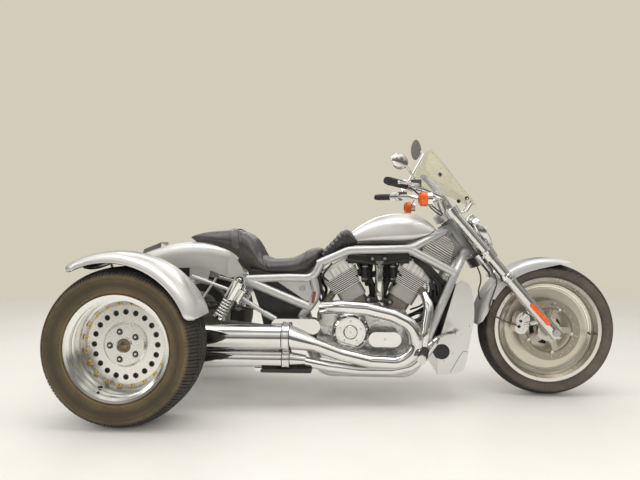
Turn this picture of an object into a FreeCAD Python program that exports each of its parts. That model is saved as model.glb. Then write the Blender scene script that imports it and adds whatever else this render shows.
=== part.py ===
import FreeCAD, Part
import math
import os
import Sketcher
from FreeCAD import Placement, Rotation, Vector

# A motorized trike: a liquid cooled V-twin power cruiser with a two wheeled rear axle.
# X runs forward, Y to the rider's left, Z up, in millimetres. The origin is on the ground
# in the middle of the whole length and width.

doc = FreeCAD.newDocument("Trike")
sheet = doc.addObject("Spreadsheet::Sheet", "Sizes")

# Driving dimensions, in groups, each with its alias, its value and what it is
SIZES = [
    ("wheelbase", 1900, "front axle to rear axle"),
    ("seat_gap", 0.3, "clearance under soft pieces and round loosely seated ones"),
    ("bearing_gap", 0.05, "radial clearance of a wheel or stem on its shaft"),
    # Front wheel
    ("front_tyre_radius", 325, "tread crown of the front tyre"),
    ("front_tyre_width", 120, "section width of the front tyre"),
    ("front_bead_radius", 241, "bead seat of the front rim"),
    ("front_rim_lip", 14, "height of the rim flange over the bead seat"),
    ("front_rim_width", 90, "width between the outsides of the rim flanges"),
    ("disc_plate", 8, "thickness of the dished front disc"),
    ("front_hub_radius", 42, "barrel of the front hub"),
        ("axle_radius", 12.5, "front axle"),
    ("kidney_middle", 66, "radius of the circle of the kidney openings"),
    ("kidney_width", 22, "radial width of a kidney opening"),
    ("rotor_radius", 146, "front brake rotor"),
    ("rotor_inner", 104, "inside of the rotor's rubbing band"),
    ("rotor_plate", 5, "thickness of the rotor"),
    ("rotor_middle", 58, "rotor plane from the middle of the wheel"),
    # Rear wheels
    ("rear_tyre_radius", 327, "tread crown of a rear tyre"),
    ("rear_tyre_width", 225, "section width of a rear tyre"),
    ("rear_track", 1010, "between the middles of the rear tyres"),
    ("rear_bead_radius", 203, "bead seat of a rear rim"),
    ("rear_rim_lip", 16, "height of the rim flange over the bead seat"),
    ("rear_rim_width", 200, "width between the outsides of the rim flanges"),
    ("rear_rim_wall", 6, "wall of the rim barrel"),
    ("dish_depth", 95, "wheel face behind the outer rim flange"),
    ("dish_plate", 12, "thickness of the wheel face"),
    ("dish_hole_circle", 136, "radius of the circle of round holes"),
    ("dish_hole_radius", 12, "round holes of the wheel face"),
    ("dish_hole_count", 20, "round holes of the wheel face"),
    ("dish_centre_radius", 92, "raised middle of the wheel face"),
    ("lug_circle", 60, "radius of the circle of lug holes"),
    ("stub_radius", 20, "stub axle of a rear wheel"),
    # Steering and fork
    ("rake", 34, "steering axis from the vertical, degrees"),
    ("trail", 99, "steering axis at the ground ahead of the front axle"),
    ("fork_angle", 39.7, "fork legs from the vertical, degrees"),
    ("leg_spread", 224, "between the middles of the fork legs"),
    ("leg_radius", 25, "fork tube"),
    ("slider_radius", 29, "fork slider"),
    ("slider_length", 338, "slider above the axle"),
    ("leg_length", 748, "fork leg above the axle"),
    ("stem_radius", 14, "steering stem"),
    ("head_radius", 33, "steering head of the frame"),
    ("head_low", 834, "lower end of the steering head, along the steering axis from the ground"),
    ("head_high", 1034, "upper end of the steering head, along the same axis"),
    ("clamp_gap", 10, "space between steering head and fork clamps"),
    ("low_clamp_height", 48, "lower fork clamp"),
    ("top_clamp_height", 38, "upper fork clamp"),
    ("clamp_wall", 11, "clamp metal round a fork leg"),
    # Front fender
    ("fender_gap", 22, "front fender over the tyre"),
    ("fender_sheet", 3, "thickness of the fenders"),
    ("front_fender_start", 4, "rear tip of the front fender above the axle, degrees"),
    ("front_fender_sweep", 104, "length of the front fender round the wheel, degrees"),
    ("front_fender_half", 76, "half width of the front fender"),
    ("front_fender_depth", 46, "side of the front fender"),
    # Rear fenders
    ("rear_fender_radius", 367, "outside of a rear fender"),
    ("rear_fender_back", 26, "middle of the fender's curve behind the axle"),
    ("rear_fender_up", 13, "middle of the fender's curve above the axle"),
    ("rear_fender_start", 54, "rear tip of a rear fender above the level, degrees"),
    ("rear_fender_sweep", 106, "length of a rear fender round the wheel, degrees"),
    ("rear_fender_half", 122, "half width of a rear fender"),
    ("rear_fender_depth", 34, "rolled side of a rear fender"),
    # Frame
    ("frame_tube", 20, "radius of the frame tubes"),
    ("frame_half", 150, "frame tubes beside the engine"),
    ("head_half", 58, "end of an upper frame tube beside the steering head"),
    ("head_cap_x", 458, "end cap of the upper frame tube"),
    ("head_cap_z", 813, "end cap of the upper frame tube"),
    ("kink_x", 274, "upper frame tube, front bend"),
    ("kink_z", 721, "upper frame tube, front bend"),
    ("knee_x", -20, "upper frame tube, rear bend"),
    ("knee_z", 713, "upper frame tube, rear bend"),
    ("upper_end_x", -168, "rear end of the upper frame tube"),
    ("upper_end_z", 647, "rear end of the upper frame tube"),
    ("join_x", 484, "brace meets downtube"),
    ("join_z", 605, "brace meets downtube"),
    ("down_top_x", 545, "top of the downtube"),
    ("down_top_z", 699, "top of the downtube"),
    ("down_top_half", 56, "top of the downtube from the middle plane"),
    ("down_low_x", 346, "downtube beside the footpeg"),
    ("down_low_z", 283, "downtube beside the footpeg"),
    ("rail_front_x", 285, "front of the lower rail"),
    ("rail_z", 130, "lower rail above the ground"),
    ("rail_rear_x", -150, "rear of the lower rail"),
    ("pivot_x", -215, "swingarm pivot"),
    ("pivot_z", 255, "swingarm pivot"),
    # Rear subframe
    ("shock_top_x", -530, "upper eye of the shock"),
    ("shock_top_z", 574, "upper eye of the shock"),
    ("shock_low_x", -640, "lower eye of the shock"),
    ("shock_low_z", 384, "lower eye of the shock"),
    ("shock_half", 230, "shock from the middle plane"),
    ("shock_eye_width", 26, "eyes of the shocks"),
    ("arm_half", 150, "swingarm tube from the middle plane"),
    ("subframe_tube", 19, "radius of the rear subframe castings"),
    ("leg_top_x", -190, "front leg of the subframe, top"),
    ("leg_top_z", 580, "front leg of the subframe, top"),
    ("leg_low_x", -210, "front leg of the subframe, foot"),
    ("leg_low_z", 440, "front leg of the subframe, foot"),
    # Engine
    ("crank_x", 121, "crankshaft"),
    ("crank_z", 281, "crankshaft"),
    ("crank_radius", 150, "round front of the crankcase"),
    ("case_half", 118, "half width of the crankcase"),
    ("bank_angle", 30.7, "cylinder from the middle of the V, degrees"),
    ("barrel_foot", 150, "barrel starts this far from the crankshaft"),
    ("barrel_step", 221, "wide part of the barrel starts this far from the crankshaft"),
    ("barrel_top", 286, "fins start this far from the crankshaft"),
    ("barrel_neck", 110, "narrow foot of the barrel along the bike"),
    ("barrel_length", 130, "wide part of the barrel along the bike"),
    ("barrel_half", 78, "half width of the barrel"),
    ("fin_count", 9, "cooling fins of a cylinder"),
    ("fin_pitch", 8.8, "from fin to fin"),
    ("fin_plate", 3.8, "thickness of a fin"),
    ("fin_length", 183, "top fin along the bike"),
    ("fin_taper", 23, "bottom fin shorter than the top one at each end"),
    ("fin_half", 92, "half width of a fin"),
    ("head_height", 58, "cylinder head above the fins"),
    ("centre_pipe_x", 128, "coolant crossover pipe"),
    ("centre_pipe_radius", 21, "coolant crossover pipe"),
    ("clutch_x", -12, "clutch cover"),
    ("clutch_z", 331, "clutch cover"),
    ("clutch_radius", 80, "clutch cover"),
    ("clutch_face", 212, "outside of the clutch cover from the middle plane"),
    ("pump_x", 149, "oval side cover"),
    ("pump_z", 296, "oval side cover"),
    ("pump_length", 152, "oval side cover"),
    ("pump_height", 70, "oval side cover"),
    # Exhaust
    ("header_radius", 31, "rear cylinder's header shield"),
    ("under_radius", 23, "front cylinder's header"),
    ("muffler_half", 285, "mufflers from the middle plane"),
    ("upper_muffler_z", 320, "upper muffler"),
    ("upper_muffler_radius", 57, "upper muffler"),
    ("lower_muffler_z", 222, "lower muffler"),
    ("lower_muffler_radius", 38, "lower muffler"),
    ("muffler_front_x", -306, "front of the mufflers"),
    ("muffler_rear_x", -842, "rear of the mufflers"),
    ("muffler_wall", 3, "wall of the muffler ends"),
    ("cover_rear_x", -378, "chromed cover over the pipes, rear end"),
    ("cover_front_x", -151, "chromed cover over the pipes, front end"),
    ("cover_z", 366, "middle of that cover"),
    ("cover_height", 70, "height of that cover"),
    # Tank and seat
    ("tank_top_z", 900, "highest point of the tank cover"),
    ("tank_rear_x", -34, "rear end of the tank cover"),
    ("tank_front_x", 430, "front end of the tank cover"),
    ("tank_half", 142, "half width of the tank cover"),
    # Tail
    ("tail_radius", 725, "ridge curve of the tail fender"),
    ("tail_x", -780, "highest point of the tail fender"),
    ("tail_z", 753, "highest point of the tail fender"),
    ("tail_half", 112, "half width of the tail fender"),
    # Axle
    ("axle_tube", 38, "rear axle tube"),
    ("hub_flange", 78, "flange that carries a rear wheel"),
    # Handlebar
    ("bar_radius", 12.7, "handlebar"),
    ("grip_radius", 18, "hand grips"),
    ("grip_length", 120, "hand grips"),
    ("grip_half", 400, "outer end of a grip"),
    ("grip_x", 150, "outer end of a grip"),
    ("grip_z", 1015, "outer end of a grip"),
    ("bar_bend_x", 318, "handlebar's bend"),
    ("bar_bend_z", 1000, "handlebar's bend"),
    ("bar_bend_half", 190, "handlebar's bend"),
    ("riser_x", 432, "handlebar over its riser"),
    ("riser_z", 965, "handlebar over its riser"),
    # Headlamp
    ("lamp_x", 640, "middle of the headlamp rim"),
    ("lamp_z", 806, "middle of the headlamp rim"),
    ("lamp_radius", 98, "headlamp rim"),
    ("lamp_depth", 66, "shell behind the rim"),
    ("lamp_bulge", 48, "lens before the rim"),
    ("lamp_tilt", 30, "headlamp looks up from the level, degrees"),
    # Mirrors and screen
    ("mirror_width", 119, "long way across a mirror"),
    ("mirror_height", 70, "short way across a mirror"),
    ("mirror_depth", 24, "shell behind a mirror's glass"),
    ("screen_sheet", 3, "thickness of the windscreen"),
]

for row, (alias, value, meaning) in enumerate(SIZES, start=1):
    sheet.set(f"A{row}", meaning)
    sheet.set(f"B{row}", str(value))
    sheet.setAlias(f"B{row}", alias)
doc.recompute()


class Size:
    """A number together with the sheet expression that gives it."""

    def __init__(self, value, text):
        self.value = float(value)
        self.text = text

    def __float__(self):
        return self.value

    def __add__(self, other):
        other = size(other)
        return Size(self.value + other.value, f"({self.text} + {other.text})")

    def __sub__(self, other):
        other = size(other)
        return Size(self.value - other.value, f"({self.text} - {other.text})")

    def __mul__(self, other):
        other = size(other)
        return Size(self.value * other.value, f"({self.text} * {other.text})")

    def __truediv__(self, other):
        other = size(other)
        return Size(self.value / other.value, f"({self.text} / {other.text})")

    def __neg__(self):
        return Size(-self.value, f"(0 - {self.text})")

    __radd__ = __add__
    __rmul__ = __mul__

    def __rsub__(self, other):
        return size(other) - self


def size(number):
    """A Size from a Size or a bare number."""
    if isinstance(number, Size):
        return number
    return Size(number, f"({number:.6f})")


class Sheet:
    """The driving dimensions by name, read back from the sheet."""

    def __getattr__(self, name):
        return Size(sheet.get(name), f"Sizes.{name}")


S = Sheet()


def sine(degrees):
    """Sine of an angle in degrees that keeps its expression."""
    degrees = size(degrees)
    return Size(math.sin(math.radians(degrees.value)), f"sin({degrees.text} * 1 deg)")


def cosine(degrees):
    """Cosine of an angle in degrees that keeps its expression."""
    degrees = size(degrees)
    return Size(math.cos(math.radians(degrees.value)), f"cos({degrees.text} * 1 deg)")


def vector(point):
    """Plain vector of a point given by sizes or numbers."""
    return Vector(*(float(part) for part in point))


def bind(thing, prop, value):
    """Set a property by an expression of the sheet."""
    thing.setExpression(prop, size(value).text)


pieces = {}


def piece(label, thing):
    """Register an object as a finished sub-part under its label."""
    thing.Label = label
    pieces[label] = thing
    return thing


def place(thing, point, rotation=Rotation()):
    """Turn an object and bind its place to the sheet."""
    thing.Placement = Placement(vector(point), rotation)
    for axis, part in zip("xyz", point):
        if isinstance(part, Size):
            bind(thing, f".Placement.Base.{axis}", part)
    return thing


def turn_to(axis, start=Vector(0, 0, 1)):
    """Rotation that takes the start direction to an axis."""
    return Rotation(start, vector(axis))


ALONG_Y = Rotation(Vector(0, 0, 1), 90)


def origin_plane(body, role):
    """One of a body's own origin planes."""
    return next(plane for plane in body.Origin.OriginFeatures if plane.Role == role)


def arc_middle(start, end, radius):
    """Point halfway along an arc between two points, to the left of the way for a positive radius."""
    chord = end - start
    half = chord.Length / 2
    rise = abs(radius) - math.sqrt(max(radius * radius - half * half, 0))
    left = Vector(-chord.y, chord.x, 0).normalize()
    return (start + end) * 0.5 + left * math.copysign(rise, radius)


def outline(body, name, role, points):
    """Closed sketch through points (u, v), with an arc after a point that has a third item."""
    sketch = body.newObject("Sketcher::SketchObject", name)
    sketch.AttachmentSupport = [(origin_plane(body, role), "")]
    sketch.MapMode = "FlatFace"
    corners = [Vector(float(point[0]), float(point[1]), 0) for point in points]
    first_end = []
    for index, point in enumerate(points):
        start = corners[index]
        end = corners[(index + 1) % len(points)]
        if len(point) > 2:
            middle = arc_middle(start, end, float(point[2]))
            sketch.addGeometry(Part.Arc(start, middle, end), False)
            flipped = (sketch.getPoint(index, 1) - start).Length > (sketch.getPoint(index, 2) - start).Length
            first_end.append(2 if flipped else 1)
        else:
            sketch.addGeometry(Part.LineSegment(start, end), False)
            first_end.append(1)
    for index, point in enumerate(points):
        after = (index + 1) % len(points)
        sketch.addConstraint(
            Sketcher.Constraint("Coincident", index, 3 - first_end[index], after, first_end[after]))
        for kind, part in (("DistanceX", point[0]), ("DistanceY", point[1])):
            dimension(sketch, (kind, -1, 1, index, first_end[index]), part)
        if len(point) > 2:
            radius = point[2] if float(point[2]) > 0 else -point[2]
            dimension(sketch, ("Radius", index), radius)
    return sketch


def dimension(sketch, what, value):
    """Dimensional constraint that follows the sheet."""
    number = sketch.addConstraint(Sketcher.Constraint(*what, float(value)))
    if isinstance(value, Size):
        sketch.setExpression(f"Constraints[{number}]", value.text)


def new_body(name):
    """Empty body."""
    return doc.addObject("PartDesign::Body", name)


def turned(name, points, angle=360):
    """Body turned about its own X axis from a profile (along, radius)."""
    body = new_body(name)
    profile = outline(body, name + "_profile", "XY_Plane", points)
    turn = body.newObject("PartDesign::Revolution", name + "_turn")
    turn.Profile = profile
    turn.ReferenceAxis = (profile, ["H_Axis"])
    if isinstance(angle, Size):
        bind(turn, "Angle", angle)
    else:
        turn.Angle = angle
    return body


def plate(name, points, thickness, role="XZ_Plane"):
    """Body padded both ways from an outline on one of its own planes."""
    body = new_body(name)
    profile = outline(body, name + "_profile", role, points)
    pad = body.newObject("PartDesign::Pad", name + "_pad")
    pad.Profile = profile
    pad.Midplane = True
    bind(pad, "Length", thickness)
    return body


def rod(name, start, end, radius):
    """Round bar from one point to another."""
    way = vector(end) - vector(start)
    bar = doc.addObject("Part::Cylinder", name)
    bind(bar, "Radius", radius)
    bind_length(bar, "Height", start, end)
    return place(bar, start, turn_to((way.x, way.y, way.z)))


def bind_length(thing, prop, start, end):
    """Bind a length to the distance between two points."""
    parts = [size(b) - size(a) for a, b in zip(start, end)]
    squares = " + ".join(f"({part.text})^2" for part in parts)
    thing.setExpression(prop, f"sqrt({squares})")


def cone(name, start, end, first, second):
    """Tapered round bar from one point to another."""
    way = vector(end) - vector(start)
    bar = doc.addObject("Part::Cone", name)
    bind(bar, "Radius1", first)
    bind(bar, "Radius2", second)
    bind_length(bar, "Height", start, end)
    return place(bar, start, turn_to((way.x, way.y, way.z)))


def box(name, middle, lengths):
    """Rectangular block about its middle."""
    block = doc.addObject("Part::Box", name)
    for prop, length in zip(("Length", "Width", "Height"), lengths):
        bind(block, prop, length)
    return place(block, [m - size(length) / 2 for m, length in zip(map(size, middle), lengths)])


def ball(name, middle, radius):
    """Sphere."""
    thing = doc.addObject("Part::Sphere", name)
    bind(thing, "Radius", radius)
    return place(thing, middle)


def path_edges(points, bend):
    """Straight runs joined by tangent arcs of one bend radius, smaller where a run is short."""
    points = [vector(point) for point in points]
    edges = []
    last = points[0]
    for before, corner, after in zip(points, points[1:], points[2:]):
        back = (before - corner).normalize()
        ahead = (after - corner).normalize()
        half_turn = (math.pi - back.getAngle(ahead)) / 2
        room = 0.48 * min((before - corner).Length, (after - corner).Length)
        radius = min(float(bend), room / math.tan(half_turn))
        cut = radius * math.tan(half_turn)
        start = corner + back * cut
        end = corner + ahead * cut
        inward = (back + ahead).normalize()
        middle = corner + inward * (radius / math.cos(half_turn) - radius)
        edges.append(Part.LineSegment(last, start).toShape())
        edges.append(Part.Arc(start, middle, end).toShape())
        last = end
    edges.append(Part.LineSegment(last, points[-1]).toShape())
    return edges


def tube(name, points, bend, radius):
    """Round tube swept along straight runs and tangent arcs."""
    path = doc.addObject("Part::Feature", name + "_path")
    path.Shape = Part.Wire(path_edges(points, bend))
    ring = doc.addObject("Part::Circle", name + "_ring")
    bind(ring, "Radius", radius)
    way = vector(points[1]) - vector(points[0])
    ring.Placement = Placement(vector(points[0]), turn_to((way.x, way.y, way.z)))
    sweep = doc.addObject("Part::Sweep", name)
    sweep.Sections = [ring]
    sweep.Spine = (path, [f"Edge{number + 1}" for number in range(len(path.Shape.Edges))])
    sweep.Solid = True
    sweep.Frenet = False
    return sweep


def fuse(name, things):
    """One solid from several that meet."""
    thing = doc.addObject("Part::MultiFuse", name)
    thing.Shapes = things
    return thing


def cut(name, base, tools):
    """The base with the tools taken away."""
    tool = tools[0] if len(tools) == 1 else fuse(name + "_tools", tools)
    thing = doc.addObject("Part::Cut", name)
    thing.Base = base
    thing.Tool = tool
    return thing


def group(name, things):
    """Several solids that stay apart in one sub-part."""
    thing = doc.addObject("Part::Compound", name)
    thing.Links = things
    return thing


def mirrored(name, source):
    """The same piece on the other side of the middle plane."""
    thing = doc.addObject("Part::Mirroring", name)
    thing.Source = source
    thing.Normal = (0, 1, 0)
    return thing


def both_sides(name, source):
    """A piece and its mirror image as one sub-part of two solids."""
    return group(name, [source, mirrored(name + "_other", source)])


def solid_feature(name, shape):
    """Object with a shape made directly."""
    thing = doc.addObject("Part::Feature", name)
    thing.Shape = shape
    return thing


def oval_wire(x, middle_z, half_width, up, down, power=2.0, steps=20):
    """Closed smooth section across the bike: a super-ellipse with its own height above and below."""
    points = []
    for step in range(steps):
        angle = 2 * math.pi * (step + 0.5) / steps
        side = math.copysign(abs(math.cos(angle)) ** (2 / power), math.cos(angle))
        rise = math.copysign(abs(math.sin(angle)) ** (2 / power), math.sin(angle))
        height = float(up) if rise > 0 else float(down)
        points.append(Vector(float(x), side * float(half_width), float(middle_z) + rise * height))
    curve = Part.BSplineCurve()
    curve.interpolate(points, True)
    return Part.Wire(curve.toShape())


def loft_through(name, wires, straight=False):
    """Solid lofted through closed sections."""
    return solid_feature(name, Part.makeLoft(wires, True, straight))


# Places that several pieces share
front_axle_x = (S.wheelbase - S.front_tyre_radius + S.rear_tyre_radius) / 2
front_axle_z = S.front_tyre_radius
rear_axle_x = front_axle_x - S.wheelbase
rear_axle_z = S.rear_tyre_radius
track_half = S.rear_track / 2

rake_sine = sine(S.rake)
rake_cosine = cosine(S.rake)
axis_ground_x = front_axle_x + S.trail


def on_steering(along, forward, side):
    """Point from its distance up the steering axis, its distance ahead of it and its side."""
    along = size(along)
    forward = size(forward)
    x = axis_ground_x - along * rake_sine + forward * rake_cosine
    z = along * rake_cosine + forward * rake_sine
    return (x, size(side), z)


def on_leg(along, side):
    """Point on the line of the fork legs, from the axle upward."""
    along = size(along)
    x = front_axle_x - along * sine(S.fork_angle)
    z = front_axle_z + along * cosine(S.fork_angle)
    return (x, size(side), z)


def leg_crossing(along):
    """Where the fork legs' line is beside a height on the steering axis: distance ahead and up the leg."""
    splay = S.fork_angle - S.rake
    ahead = front_axle_z * rake_sine - S.trail * rake_cosine
    foot = front_axle_z * rake_cosine + S.trail * rake_sine
    up_leg = (size(along) - foot) / cosine(splay)
    return ahead - up_leg * sine(splay), up_leg


def make_front_tyre():
    """Rounded road tyre on its bead seats."""
    half = S.front_tyre_width / 2
    seat = S.front_rim_width / 2 - 7
    low = S.front_bead_radius
    wide = low + (S.front_tyre_radius - low) * 0.5
    shoulder = S.front_tyre_radius - 22
    body = turned("front_tyre", [
        (-seat, low),
        (seat, low),
        (seat, low + S.front_rim_lip),
        (half, wide, -62),
        (half - 9, shoulder, -78),
        (0, S.front_tyre_radius, -78),
        (9 - half, shoulder, -62),
        (-half, wide),
        (-seat, low + S.front_rim_lip),
    ])
    place(body, (front_axle_x, 0, front_axle_z), ALONG_Y)
    return piece("front_tyre", body)


def pattern_cut(body, name, sketch, role, count):
    """Cut a sketch right through the body and repeat it round one of the body's axes."""
    pocket = body.newObject("PartDesign::Pocket", name)
    pocket.Profile = sketch
    pocket.Type = "ThroughAll"
    pocket.SideType = "Symmetric"
    pattern = body.newObject("PartDesign::PolarPattern", name + "_ring")
    pattern.Originals = [pocket]
    pattern.Axis = (origin_plane(body, role), [""])
    pattern.Angle = 360
    bind(pattern, "Occurrences", count)
    body.Tip = pattern
    return pattern


def round_sketch(body, name, role, middle, radius):
    """Sketch of one circle."""
    sketch = body.newObject("Sketcher::SketchObject", name)
    sketch.AttachmentSupport = [(origin_plane(body, role), "")]
    sketch.MapMode = "FlatFace"
    place_u, place_v = (size(part) for part in middle)
    centre = Vector(float(place_u), float(place_v), 0)
    sketch.addGeometry(Part.Circle(centre, Vector(0, 0, 1), float(radius)), False)
    dimension(sketch, ("Radius", 0), size(radius))
    dimension(sketch, ("DistanceX", -1, 1, 0, 3), place_u)
    dimension(sketch, ("DistanceY", -1, 1, 0, 3), place_v)
    return sketch


def make_front_wheel():
    """Solid dished disc wheel with five kidney openings round its hub."""
    bore = S.axle_radius + S.bearing_gap
    seat = S.front_rim_width / 2 - 7
    flange = S.front_rim_width / 2
    low = S.front_bead_radius
    high = low + S.front_rim_lip
    plate_half = S.disc_plate / 2
    hub = S.rotor_middle - S.rotor_plate / 2
    right = [
        (hub, bore),
        (hub, S.front_hub_radius),
        (plate_half + 12, S.front_hub_radius + 4),
        (plate_half + 5, S.front_hub_radius + 14),
        (plate_half, low - 46),
        (plate_half + 9, low - 20),
        (seat - 6, low - 9),
        (flange, low - 2),
        (flange, high),
        (seat, high),
        (seat, low),
    ]
    left = [(-along, radius) for along, radius in reversed(right)]
    body = turned("front_wheel", right + left)
    doc.recompute()
    inner = S.kidney_middle - S.kidney_width / 2
    outer = S.kidney_middle + S.kidney_width / 2
    spread = size(22)
    kidney = outline(body, "kidney", "YZ_Plane", [
        (inner * cosine(spread), -inner * sine(spread), -inner),
        (inner * cosine(spread), inner * sine(spread)),
        (outer * cosine(spread), outer * sine(spread), outer),
        (outer * cosine(spread), -outer * sine(spread)),
    ])
    pattern_cut(body, "kidneys", kidney, "X_Axis", 5)
    place(body, (front_axle_x, 0, front_axle_z), ALONG_Y)
    return piece("front_wheel", body)


def make_front_rotors():
    """Two drilled brake rotors with five armed carriers, bolted to the hub's ends."""
    half = S.rotor_plate / 2
    bore = S.axle_radius + 6
    discs = []
    for side, middle in (("right", -S.rotor_middle), ("left", S.rotor_middle)):
        body = turned(f"rotor_{side}", [
            (middle - half, bore),
            (middle + half, bore),
            (middle + half, S.rotor_radius),
            (middle - half, S.rotor_radius),
        ])
        doc.recompute()
        inner = S.kidney_middle - 12
        outer = S.rotor_inner
        window = outline(body, f"window_{side}", "YZ_Plane", [
            (inner * cosine(size(18)), -inner * sine(size(18)), -inner),
            (inner * cosine(size(18)), inner * sine(size(18))),
            (outer * cosine(size(29)), outer * sine(size(29)), outer),
            (outer * cosine(size(29)), -outer * sine(size(29))),
        ])
        pattern_cut(body, f"windows_{side}", window, "X_Axis", 5)
        doc.recompute()
        hole = round_sketch(body, f"hole_{side}", "YZ_Plane", (S.rotor_inner + 22, 0), 4)
        pattern_cut(body, f"holes_{side}", hole, "X_Axis", 15)
        place(body, (front_axle_x, 0, front_axle_z), ALONG_Y)
        discs.append(body)
    return piece("front_rotors", group("front_rotors", discs))


def make_rear_tyre(side, sign):
    """Car type tyre of one rear wheel, with a flat tread and round shoulders."""
    half = S.rear_tyre_width / 2
    seat = S.rear_rim_width / 2 - 8
    low = S.rear_bead_radius
    wide = low + (S.rear_tyre_radius - low) * 0.5
    shoulder = S.rear_tyre_radius - 20
    body = turned(f"rear_tyre_{side}", [
        (-seat, low),
        (seat, low),
        (seat, low + S.rear_rim_lip),
        (half, wide, -64),
        (half - 8, shoulder, -30),
        (half - 30, S.rear_tyre_radius - 2),
        (30 - half, S.rear_tyre_radius - 2, -30),
        (8 - half, shoulder, -64),
        (-half, wide),
        (-seat, low + S.rear_rim_lip),
    ])
    place(body, (rear_axle_x, track_half * sign, rear_axle_z), ALONG_Y)
    return piece(f"rear_tyre_{side}", body)


def make_rear_wheel(side, sign):
    """Deep dished alloy wheel: stepped lip, face with twenty round holes and a raised middle."""
    half = S.rear_rim_width / 2
    seat = half - 8
    low = S.rear_bead_radius
    wall = low - S.rear_rim_wall
    face = half - S.dish_depth
    bore = S.stub_radius + S.bearing_gap
    profile = [
        (face - S.dish_plate - 20, bore),
        (face + 16, bore),
        (face + 16, S.dish_centre_radius - 8),
        (face + 8, S.dish_centre_radius),
        (face, S.dish_centre_radius + 2),
        (face, wall - 16),
        (face + 14, wall - 14),
        (face + 16, wall),
        (half - 46, wall),
        (half - 43, wall - 5),
        (half - 34, wall - 5),
        (half - 31, wall),
        (half - 9, wall),
        (half - 3, low + 4),
        (half, low + S.rear_rim_lip - 2),
        (half - 2, low + S.rear_rim_lip),
        (seat, low + S.rear_rim_lip),
        (seat, low),
        (-seat, low),
        (-seat, low + S.rear_rim_lip),
        (-half, low + S.rear_rim_lip),
        (-half, wall),
        (face - S.dish_plate, wall),
        (face - S.dish_plate, S.dish_centre_radius - 20),
        (face - S.dish_plate - 20, S.dish_centre_radius - 26),
    ]
    if sign < 0:
        profile = [(-along, radius) for along, radius in reversed(profile)]
    body = turned(f"rear_wheel_{side}", profile)
    doc.recompute()
    hole = round_sketch(body, f"round_hole_{side}", "YZ_Plane", (S.dish_hole_circle, 0), S.dish_hole_radius)
    pattern_cut(body, f"round_holes_{side}", hole, "X_Axis", S.dish_hole_count)
    doc.recompute()
    lug = round_sketch(body, f"lug_hole_{side}", "YZ_Plane", (S.lug_circle, 0), 9)
    pattern_cut(body, f"lug_holes_{side}", lug, "X_Axis", 5)
    place(body, (rear_axle_x, track_half * sign, rear_axle_z), ALONG_Y)
    return piece(f"rear_wheel_{side}", body)


def make_axle():
    """Rear axle tube with its differential housing, hub carriers and stub axles."""
    face_inside = track_half + S.rear_rim_width / 2 - S.dish_depth - S.dish_plate - 20
    carrier_end = face_inside - 6
    stub_end = track_half + S.rear_rim_width / 2 - S.dish_depth + 14
    half_profile = [
        (0, 0),
        (stub_end, 0),
        (stub_end, S.stub_radius),
        (carrier_end, S.stub_radius),
        (carrier_end, S.hub_flange),
        (carrier_end - 22, S.hub_flange),
        (carrier_end - 40, S.axle_tube + 8),
        (carrier_end - 120, S.axle_tube),
        (112, S.axle_tube),
        (78, S.axle_tube + 46),
        (0, S.axle_tube + 62),
    ]
    left = turned("axle_left", half_profile)
    place(left, (rear_axle_x, 0, rear_axle_z), ALONG_Y)
    whole = fuse("rear_axle", [left, mirrored("axle_right", left)])
    return piece("rear_axle", whole)


def make_swingarm():
    """Two arms from the pivot tube to the axle tube, a cross member and the plates of the shocks."""
    parts = []
    for name, sign in (("right", -1), ("left", 1)):
        side = S.arm_half * sign
        start = (S.pivot_x, (S.arm_half - 44) * sign, S.pivot_z)
        bend = (S.pivot_x - 200, side, S.pivot_z + 14)
        end = (rear_axle_x + S.axle_tube * 0.5, side, rear_axle_z)
        parts.append(tube(f"arm_{name}", [start, bend, end], 160, 26))
        eye_face = (S.shock_half + S.shock_eye_width / 2) * sign
        bracket = plate(f"shock_plate_{name}", [
            (rear_axle_x - 24, rear_axle_z + 8),
            (rear_axle_x + 20, rear_axle_z - 20),
            (rear_axle_x + 76, S.shock_low_z - 18),
            (S.shock_low_x + 26, S.shock_low_z - 18),
            (S.shock_low_x + 26, S.shock_low_z + 20),
            (S.shock_low_x - 40, S.shock_low_z + 26),
            (rear_axle_x - 10, rear_axle_z + 30),
        ], 8)
        place(bracket, (0, eye_face + 4.3 * sign, 0))
        pin = rod(f"shock_pin_{name}", (S.shock_low_x, (S.shock_half - 12) * sign, S.shock_low_z),
                  (S.shock_low_x, eye_face + 14 * sign, S.shock_low_z), 9)
        parts.append(cut(f"shock_bracket_{name}", fuse(f"bracket_whole_{name}", [bracket, pin]),
                         [pieces["rear_axle"]]))
    half = S.arm_half - 44
    parts.append(rod("pivot_tube", (S.pivot_x, -half, S.pivot_z), (S.pivot_x, half, S.pivot_z), 30))
    cross = (S.pivot_x - 230, S.pivot_z + 17)
    parts.append(rod("arm_cross", (cross[0], -S.arm_half, cross[1]), (cross[0], S.arm_half, cross[1]), 22))
    arms = cut("swingarm_arms", fuse("swingarm_whole", parts[:1] + parts[2:3] + parts[4:]),
               [pieces["rear_axle"], pieces["frame_right"], pieces["frame_left"]])
    return piece("swingarm", group("swingarm", [arms, parts[1], parts[3]]))


def make_front_axle():
    """Axle through the wheel and both fork legs, with its end nuts."""
    reach = S.leg_spread / 2 + S.slider_radius + 3
    bar = rod("axle_bar", (front_axle_x, -reach, front_axle_z), (front_axle_x, reach, front_axle_z),
              S.axle_radius)
    ends = [bar]
    for name, sign in (("right", -1), ("left", 1)):
        inner = (front_axle_x, S.leg_spread / 2 * sign - 34 * sign, front_axle_z)
        outer = (front_axle_x, reach * sign + 7 * sign, front_axle_z)
        start = (front_axle_x, reach * sign, front_axle_z)
        ends.append(rod(f"axle_nut_{name}", start, outer, 17))
        hub_end = (front_axle_x, (S.rotor_middle + S.rotor_plate / 2 + 5) * sign, front_axle_z)
        ends.append(rod(f"axle_spacer_{name}", hub_end, inner, 17))
    return piece("front_axle", fuse("front_axle", ends))


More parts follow.
